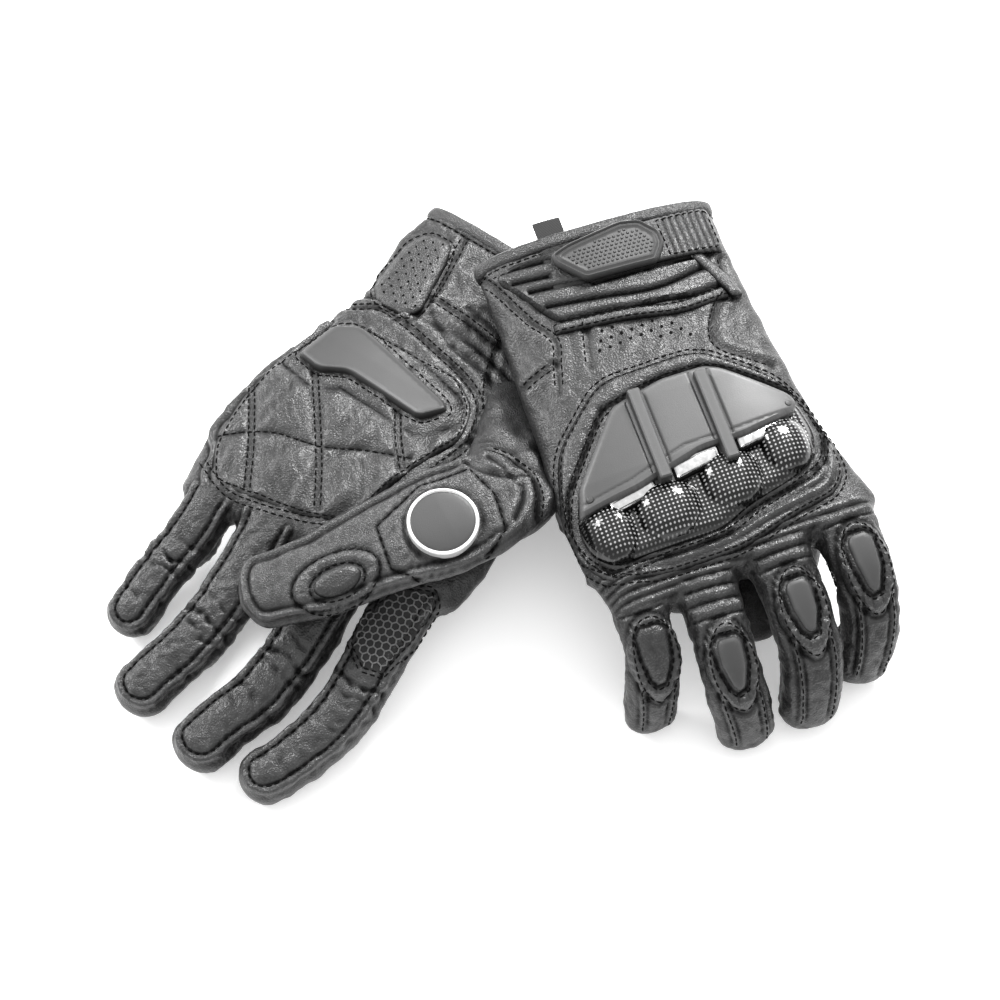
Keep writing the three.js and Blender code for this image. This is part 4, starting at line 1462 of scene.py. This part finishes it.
def build_cuff(hand, tree):
    hem_profile = [
        (5.4, -0.3), (4.9, 0.55), (3.6, 0.9), (2.0, 1.0), (0.8, 0.9), (0.1, 0.2), (-0.1, -0.9), (0.3, -1.9),
        (1.4, -2.5), (3.5, -2.6), (5.0, -2.2),
    ]
    rings = [cuff_ring(hand, y, offset) for y, offset in hem_profile]
    hem = loft([*rings, rings[0]], capped=False)
    hem.points[:, 1] += 0.12 * ripple(hem.points, 9, 51)
    lay_piece("cuff_binding", hand, "hand", hem, "smooth", ["cuff_binding"], crease=None)
    inner = [cuff_ring(hand, y, -2.4 - 0.02 * y) for y in np.arange(3, 76, 4)]
    lining = loft(inner)
    lining.points += 0.3 * ripple(lining.points, 7, 52)[:, None] * [1, 0, 1]
    lining.faces = [f[::-1] for f in lining.faces]
    lay_piece("cuff_lining", hand, "hand", lining, "lining", crease=None)
    cx, cz, _, _ = section(hand, 4)
    reach = 90
    around = [Vector((math.cos(k), 0, math.sin(k))) for k in np.linspace(0, 2 * np.pi, 400)]
    lines = [(Vector((cx, 6.4, cz)) + way * reach, -way) for way in around]
    return stitch_row(met(tree, lines, 0.0, 2 * reach))


LABEL_SIZE = (11, 42)  # the strip before it is folded
LABEL_END = {"left": 2.5, "right": -9}  # the left glove's label lies folded back inside its cuff


def build_label(hand):
    """A blank woven label: a strip of tape folded in two, sewn into the cuff by its ends."""
    x0, y0 = 11, LABEL_END[hand]
    x1, y1 = x0 + LABEL_SIZE[0], y0 + LABEL_SIZE[1] / 2
    _, cz, _, b = section(hand, 0)
    z = cz + b - LEATHER - 2.2
    loop = [
        (y1, 0.4), (y0 + 1, 0.42), (y0 + 0.25, 0.25), (y0, 0), (y0 + 0.25, -0.25), (y0 + 1, -0.42),
        (y1, -0.4), (y1, -0.1), (y0 + 1, -0.12), (y0 + 0.35, 0), (y0 + 1, 0.12), (y1, 0.1),
    ]
    rings = []
    for x in np.linspace(x0, x1, 12):
        sag = 0.25 * math.sin((x - x0) / (x1 - x0) * math.pi)
        rings.append(np.array([[x, y, z + h + sag * (1 - (y - y0) / (y1 - y0))] for y, h in loop]))
    shape = loft(rings)
    label = lay_piece("size_label", hand, "hand", shape, "tape", ["size_label"], crease=50)


LOOP_PATCH = [(-34, 6), (24, 6), (24, 26), (-34, 26)]
HOOK = [(-12, 9), (1, 10), (13, 13), (14, 16), (5, 24), (-12, 24)]
KEEPER = [(-30.5, 26), (-35.5, 26), (-42, 38), (-45, 47), (-40.5, 48), (-36.5, 39.5)]  # a strip by the root
STRAP_ANCHOR = [(-44.8, 7), (-40.5, 7), (-40.5, 25.5), (-44.8, 25.5)]  # the leather that the root is sewn to


def bend_strap(obj, hand):
    """The strap's root stays sewn to the glove. This finds the root and the place just past it where the
    strap would bend, and bakes the piece's placement into its mesh, but bends nothing.
    """
    root, bent = (place(hand, [(x, 16, 4)])[0] for x in (-45.5, -39))
    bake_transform(obj)


def build_strap(hand, soft):
    """The strap with its hook patch, band, tab and keeper."""
    hook = relief(HOOK, soft, lambda p, d: 2.35 + 0 * d, radius=2, step=1.0, foot=1.8)
    lay_piece("strap_hook", hand, "strap", hook, "hook", ["strap_hook"])
    band = relief(STRAP, soft, band_height, radius=1.5, step=0.55, foot=2.4, rings=(0.4, 1.2))
    obj = lay_piece("strap_band", hand, None, band, "smooth", ["strap_band"], crease=60)
    bend_strap(obj, hand)
    anchor = relief(STRAP_ANCHOR, soft, lambda p, d: 1.4 + 1.1 * np.minimum(1, d), radius=1, step=0.8)
    lay_piece("strap_anchor", hand, "hand", anchor, "smooth", crease=60)
    tab_rings = (0.25, 1.0, 1.7, 2.1, 2.9, 3.6)
    tab = relief(TAB, soft, profile(*TAB_PROFILE), radius=2, step=0.8, foot=4.35, rings=tab_rings)
    studs = dots(tree_of(tab), lattice(TAB, 1.9, 4.3), BACK, 0.6, lift=0.02, dome_height=0.4)
    studded = joined([tab, *studs])
    lay_piece("strap_tab", hand, "strap", studded, "plastic", ["strap_tab"], crease=50)
    keeper_top = profile((0, 2.8), (0.3, 3.8), (1, 4.2))
    keeper = relief(KEEPER, soft, keeper_top, radius=1.2, step=0.7, foot=0.4)
    lay_piece("strap_keeper", hand, "hand", keeper, "smooth", crease=60)
    edge = rows_of(rounded(grown(STRAP, -1.5), 1.5, 1.0), 1, closed=True)[0]
    sewing = joined(sewn(tree_of(band), [edge[edge[:, 0] < -22.5]], BACK))
    obj = lay_piece("strap_stitching", hand, None, sewing, "thread", crease=None)
    bend_strap(obj, hand)


def build_wrist(hand, skin):
    soft = on_hand(hand, BACK)
    ribs = relief(RIBBED, soft, ribs_height, radius=3, step=0.7)
    lay_piece("wrist_ribs", hand, "hand", ribs, "leather", ["wrist_ribs"])
    middle = catmull_rom(PIPING, 2)
    strip = ordered(np.vstack([shifted(middle, 2.5), shifted(middle, -2.5)[::-1]]))
    piping = relief(strip, soft, lambda p, d: 0.6 + 2.0 * np.minimum(1, d / 1.6) ** 0.5, radius=1, step=0.7)
    lay_piece("wrist_piping", hand, "hand", piping, "smooth", crease=60)
    patch = relief(LOOP_PATCH, soft, hook_height, radius=2, step=1.0)
    lay_piece("loop_patch", hand, "hand", patch, "hook", ["loop_patch"])
    build_strap(hand, soft)
    tree = tree_of(ribs, piping, skin)
    made = sewn(tree, [shifted(catmull_rom(PIPING, 1.0), side * 1.4) for side in (-1, 1)], BACK)
    for line in RIB_LINES:
        row = resample(catmull_rom(line, 1.5), 1.0)
        clear_of_strap = (row[:, 1] > 27) | (row[:, 0] > 21.5)
        made += sewn(tree, [row[clear_of_strap]], BACK, 0.22)
    for line, _, rows in BACK_SEAMS:
        made += sewn(tree, beside_seam(line, rows), BACK)
    return made, dots(tree, lattice(PERFORATED, 4.3, 1.8, 0.1), BACK, 0.62, 0.22)


# ------------------------------ thumb

THUMB_STEP = 0.75
WEB_DEPTH = {"left": 11, "right": 8}  # how far the thumb's root reaches on into the palm


def thumb_line(hand):
    """The thumb's centre line, with its root carried back into the heel of the hand."""
    roots = {"left": [(-34, 50, 4), (-48, 74, -7.5)], "right": [(-32, 50, -6), (-38, 68, -17)]}[hand]
    return Line([*roots, *THUMB_LINES[hand]], before=2), Line(THUMB_LINES[hand])


# Places along the thumb as shares of its length, places across it and sizes in mm.
BADGE = {"share": 0.265, "across": -4, "r": 13, "ring": 1.0}
THUMB_INSERT = {"share": 0.67, "across": -8, "rx": 5, "ry": 8.5}
# The seam across the thumb's root and the deep folds beside it, in the thumb's own (u, s).
ROOT_SEAM = [(17, -3), (11, -8.5), (2, -11), (-8, -9.5), (-17, -4)]
ROOT_FOLDS = [  # line, depth, width
    ([(16, 8), (9, 5), (3, -2), (1, -8)], 1.0, 1.3),
    ([(15, -15), (4, -19), (-8, -18), (-15, -13)], 1.2, 1.6),
    ([(-2, -6), (-9, -2), (-14, 4)], 0.8, 1.2),
    ([(14, 0), (6, -3), (-2, -4)], 0.7, 1.1),
    ([(12, -23), (0, -27), (-12, -25)], 1.0, 1.6),
]


def thumb_features(line, s, u, v, points):
    """Height of the thumb's leather over its form. The face that shows looks away from the palm."""
    _, b = thumb_size(np.clip(s / line.length, 0, 1))
    flat = np.stack([u, s], 1)
    face = smooth_step(-0.05, 0.35, -v / b)
    height = 0.2 * ripple(points, 11, 61) + 0.1 * ripple(points, 5, 62)
    seams = thumb_seams(line)
    for outline, depth, width in seams["grooves"]:
        d = distance_to(outline, flat)
        height -= face * depth * bump_line(d, width)
    for outline, rise in seams["pads"]:
        d = depth_in(outline, flat)
        height += face * rise * smooth_step(-0.8, 1.6, d)
    for line_at, rise in seams["welts"]:
        d = distance_to(line_at, flat)
        starts = face * smooth_step(0, 16, s)
        height += starts * (rise * bump_line(d, 0.9) - 0.8 * bump_line(d - 2.0, 0.9))
    for centre, away, count, depth in seams["puckers"]:
        turn = np.arctan2(s - centre[1], (u - centre[0]) * 1.3)
        folds = np.sin(turn * count + 2.5 * np.sin(turn * 5))
        height += face * depth * folds * bump_line(distance_to(away, flat), 1.9)
    for line_at, depth, width in seams["folds"]:
        d = distance_to(line_at, flat)
        height += face * depth * (0.6 * bump_line(d - 2.0 * width, 1.1 * width) - bump_line(d, width))
    pleats = smooth_step(14, -6, s) * ripple(points * [1, 0.35, 1], 9, 63)
    return height + 0.9 * pleats


def thumb_seams(line):
    """Lines and pads of the thumb's face, in (u, s)."""
    length = line.length
    by, ix = length * BADGE["share"], BADGE["across"]
    iy, jx = length * THUMB_INSERT["share"], THUMB_INSERT["across"]
    panel = np.array([
        (ix + 16, by - 19), (ix + 18, by + 2), (ix + 9, by + 22), (ix - 8, by + 24), (ix - 18, by + 13),
        (ix - 19, by - 6), (ix - 12, by - 19), (ix + 2, by - 22),
    ])
    edge = np.arange(-4, length - 9, 1.2)
    reach = thumb_size(edge / length)[0] - 2.6
    turn = np.linspace(0, np.pi, 17)[1:-1]
    r = thumb_size((length - 9) / length)[0] - 2.6
    tip = np.stack([r * np.cos(turn), length - 9 + 6.5 * np.sin(turn)], 1)
    wave = 0.12 * np.sin(edge * 0.4)
    rim = np.vstack([np.stack([reach + wave, edge], 1), tip, np.stack([-reach - wave, edge], 1)[::-1]])
    pad = ellipse(jx + 1, iy, 10.2, 16)
    badge_r = BADGE["r"] + 1.2
    return {
        "grooves": [
            (looped(panel), 0.7, 1.0), (ellipse(ix, by, badge_r, badge_r), 0.8, 1.4),
            (looped(pad), 0.8, 1.1), (ellipse(jx, iy, 6.2, 9.8), 0.9, 1.3),
        ],
        "pads": [(panel, 0.9), (pad, 1.1)],
        "welts": [(rim, 0.7)],
        "folds": [(catmull_rom(ROOT_SEAM, 1.0), 0.9, 1.4)]
        + [(catmull_rom(fold, 1.0), depth, width) for fold, depth, width in ROOT_FOLDS],
        "puckers": [
            ((jx, iy), ellipse(jx, iy, 8.6, 13), 23, 0.28), ((ix, by), ellipse(ix, by, 18.6, 18.6), 37, 0.18),
        ],
        "panel": panel, "pad": pad,
    }


def thumb_shape(hand, long_line, line):
    """The thumb's skin as one lofted and displaced shape, whose root widens into the palm."""
    lead = long_line.length - line.length
    stops = np.concatenate([
        np.arange(0, long_line.length - TIP_ROUND, THUMB_STEP),
        long_line.length - TIP_ROUND * (1 - np.sin(np.linspace(0.02, 1.53, 16))),
    ])
    count = 124
    c, s = superellipse(count, FINGER_POWER)
    rings = []
    for at in stops:
        centre, _, side, up = (v[0] for v in long_line.at(at))
        share = (at - lead) / line.length
        a, b = thumb_size(max(share, 0))
        root = smooth_step(0, lead, at)
        a, b = a * (0.72 + 0.28 * root), b * (0.85 + 0.15 * root)
        end = dome(at, long_line.length, TIP_ROUND)
        web = WEB_DEPTH[hand] * smooth_step(lead + 20, lead - 7, at)
        inner = np.maximum(s, 0)
        narrow = 1 - 0.3 * inner * web / WEB_DEPTH[hand]
        rings.append(centre + np.outer(a * end * c * narrow, side) + np.outer(b * end * s + web * inner, up))
    shape = loft(rings)
    quads = np.array([f for f in shape.faces if len(f) == 4])
    normals = normals_of(shape.points, quads)
    at, u, v = line.locate(shape.points)
    height = thumb_features(line, at, u, v, shape.points)
    fade = smooth_step(0, 8, np.repeat(stops, count))
    shape.points = shape.points + normals * (height * fade)[:, None]
    # the thumb's ridges are painted lighter and its grooves and folds get painted shade
    shape.wear_and_painted_light = detail_of(height, quads, 12)
    return shape


def build_thumb(hand):
    long_line, line = thumb_line(hand)
    shape = thumb_shape(hand, long_line, line)
    obj = add_piece(f"{hand}_thumb_skin", hand, shape, MATERIALS["smooth"], crease=None)
    blend_thumb(obj, hand, line)
    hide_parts(f"{hand}_thumb_shell")
    build_badge(hand, line)
    tree = tree_of(shape)
    seams = thumb_seams(line)
    iy, jx = line.length * THUMB_INSERT["share"], THUMB_INSERT["across"]
    tracks = [looped(seams["panel"]), looped(seams["pad"]), looped(ellipse(jx, iy, 6.4, 10))]
    rows = []
    for track in tracks + beside_seam(ROOT_SEAM, 2):
        rows += stitch_row(drape_stall(tree, line, resample(track, 1.0), PALM))
    thread = add_piece(f"{hand}_thumb_stitching", hand, joined(rows), MATERIALS["thread"])
    blend_thumb(thread, hand, line)


def build_badge(hand, line):
    """The thumb's round badge in its bright ring, and the padded insert on the thumb's joint."""
    by, ix = line.length * BADGE["share"], BADGE["across"]
    iy, jx = line.length * THUMB_INSERT["share"], THUMB_INSERT["across"]
    top = on_stall(line, thumb_size, PALM)
    face_r = BADGE["r"] - BADGE["ring"]
    face_top = profile((0, 2.5), (0.5, 3.0), (3, 3.1))
    disc = relief(ellipse(ix, by, face_r, face_r, 60), top, face_top, radius=0, step=0.8)
    lay_piece("thumb_badge", hand, "thumb", disc, "plastic", ["thumb_badge"])
    ring_top = profile((0, 2.6), (0.3, 3.4), (0.8, 3.4), (1.1, 2.8), (9, 2.0))
    rim = ellipse(ix, by, BADGE["r"], BADGE["r"], 72)
    ring = relief(rim, top, ring_top, radius=0, step=0.8, rings=(0.3, 0.8, 1.1))
    lay_piece("thumb_badge_ring", hand, "thumb", ring, "white")
    outline = ellipse(jx, iy, THUMB_INSERT["rx"], THUMB_INSERT["ry"])
    insert = relief(outline, top, lambda p, d: 1.4 + 1.9 * np.sqrt(np.clip(d / 2.4, 0, 1)), radius=0)
    lay_piece("thumb_insert", hand, "thumb", insert, "pad", ["thumb_insert"], crease=60)


def blend_thumb(obj, hand, line):
    blend_at(obj, hand, line, -9, 15)


# ------------------------------ finger trims

def build_finger_trims(hand, finger, line, tree):
    middle = line.length * FINGERS[finger]["bend"] - MIDDLE_MARGIN
    around = grown(np.array(INSERT) + [0, pad_place(line, finger)], 1.9)
    tracks = [(pad_outline(line, finger, -0.9), BACK, True), (around, BACK, True)]
    tracks += [(np.asarray(t), BACK, False) for t in tip_seams(line, finger)]
    pulp = pulp_outline(line, finger)
    tracks.append((pulp, PALM, False))
    rows = {"base": [], "tip": []}
    for flat, side, closed in tracks:
        flat = resample(looped(flat) if closed else flat, 1.0)
        if side == PALM:
            flat = shifted(flat, -1.9)
        track = drape_stall(tree, line, flat, side)
        for stitch in stitch_row(track):
            s = line.locate(stitch.points[:1])[0][0]
            rows["base" if s < middle else "tip"].append(stitch)
    for part, stitches in rows.items():
        if stitches:
            name = f"{hand}_{finger}_{part}_stitching"
            obj = add_piece(name, hand, joined(stitches), MATERIALS["thread"])
            blend_finger(obj, hand, finger, line, part)
    if FINGERS[finger]["insert"] is not None:
        outline = np.array(INSERT, float) + [0, pad_place(line, finger)]
        top = on_stall(line, lambda share: finger_size(finger, share), BACK)
        insert_top = profile((0, 1.5), (0.4, 2.5), (1.2, 2.9))
        shape = relief(outline, top, insert_top, radius=1.3, step=0.7, rings=(0.4, 1.2))
        obj = add_piece(f"{hand}_{finger}_insert", hand, shape, MATERIALS["plastic"], 40)
        blend_finger(obj, hand, finger, line, "tip")
        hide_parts(f"{hand}_{finger}_insert")


# ------------------------------ one glove

def build_glove(hand):
    lines = {finger: Line(points) for finger, points in FINGER_LINES[hand].items()}
    skin, tree = build_skin(hand, lines)
    rows, holes = build_palm(hand, skin)
    rows += build_armour(hand, skin)
    wrist_rows, wrist_holes = build_wrist(hand, skin)
    rows += wrist_rows + build_cuff(hand, tree)
    lay_piece("hand_stitching", hand, "hand", joined(rows), "thread", crease=None)
    # the perforations: near-black dished rounds, painted shade in place of cut holes
    lay_piece("perforations", hand, "hand", joined(holes + wrist_holes), "hole", crease=None)
    build_label(hand)
    for finger, line in lines.items():
        build_finger_trims(hand, finger, line, tree)
    build_thumb(hand)
    build_net(hand, lines["index"], tree)


# ------------------------------ camera, floor and light

LIGHTS = [  # name, place and size in metres, watts
    ("top", (0, 0.1, 1.5), 2.2, 10),
    ("key", (0.35, 0.8, 0.75), 0.35, 22),
    ("side", (-1.0, 0.5, 0.7), 0.4, 15),
]
ELEVATION = math.radians(65)
CAMERA_AIM = (0.5, -6.7, 18)  # the point that it looks at, in mm
CAMERA_AWAY = 0.955  # its distance from there, in metres
FLOOR_REACH = 4


def aim(obj, place_at, direction):
    """Puts a camera or light at a place, looking in a direction."""
    obj.location = place_at
    obj.rotation_mode = "QUATERNION"
    obj.rotation_quaternion = direction.to_track_quat("-Z", "Y")


def build_stage():
    back = Vector((0, -math.cos(ELEVATION), math.sin(ELEVATION)))
    camera = linked("camera", bpy.data.cameras.new("camera"))
    camera.data.lens, camera.data.sensor_width = 90, 36
    camera.data.clip_start, camera.data.clip_end = 0.05, 20
    aim(camera, Vector(CAMERA_AIM) * MM + back * CAMERA_AWAY, -back)
    bpy.context.scene.camera = camera

    mesh = bpy.data.meshes.new("floor")
    corners = [(x * FLOOR_REACH, y * FLOOR_REACH, 0) for x, y in ((-1, -1), (1, -1), (1, 1), (-1, 1))]
    mesh.from_pydata(corners, [], [(0, 1, 2, 3)])
    floor = linked("floor", mesh)
    paper = Nodes("paper_floor", Roughness=0.9, Specular_IOR_Level=0.1, Emission_Strength=0.3)
    mesh.materials.append(paper.done(Base_Color=paper.mix(paper.noise(6), grey(0.93), grey(0.96))))

    world = bpy.data.worlds.new("studio")
    world.use_nodes = True
    world.node_tree.nodes["Background"].inputs["Color"].default_value = (1, 1, 1, 1)
    world.node_tree.nodes["Background"].inputs["Strength"].default_value = 0.95
    bpy.context.scene.world = world
    bpy.context.scene.view_settings.view_transform = "Standard"
    for name, spot, size, watts in LIGHTS:
        light = linked(name, bpy.data.lights.new(name, "AREA"))
        light.data.size, light.data.energy = size, watts
        aim(light, spot, -Vector(spot))


for glove in LAY:
    build_glove(glove)
build_stage()
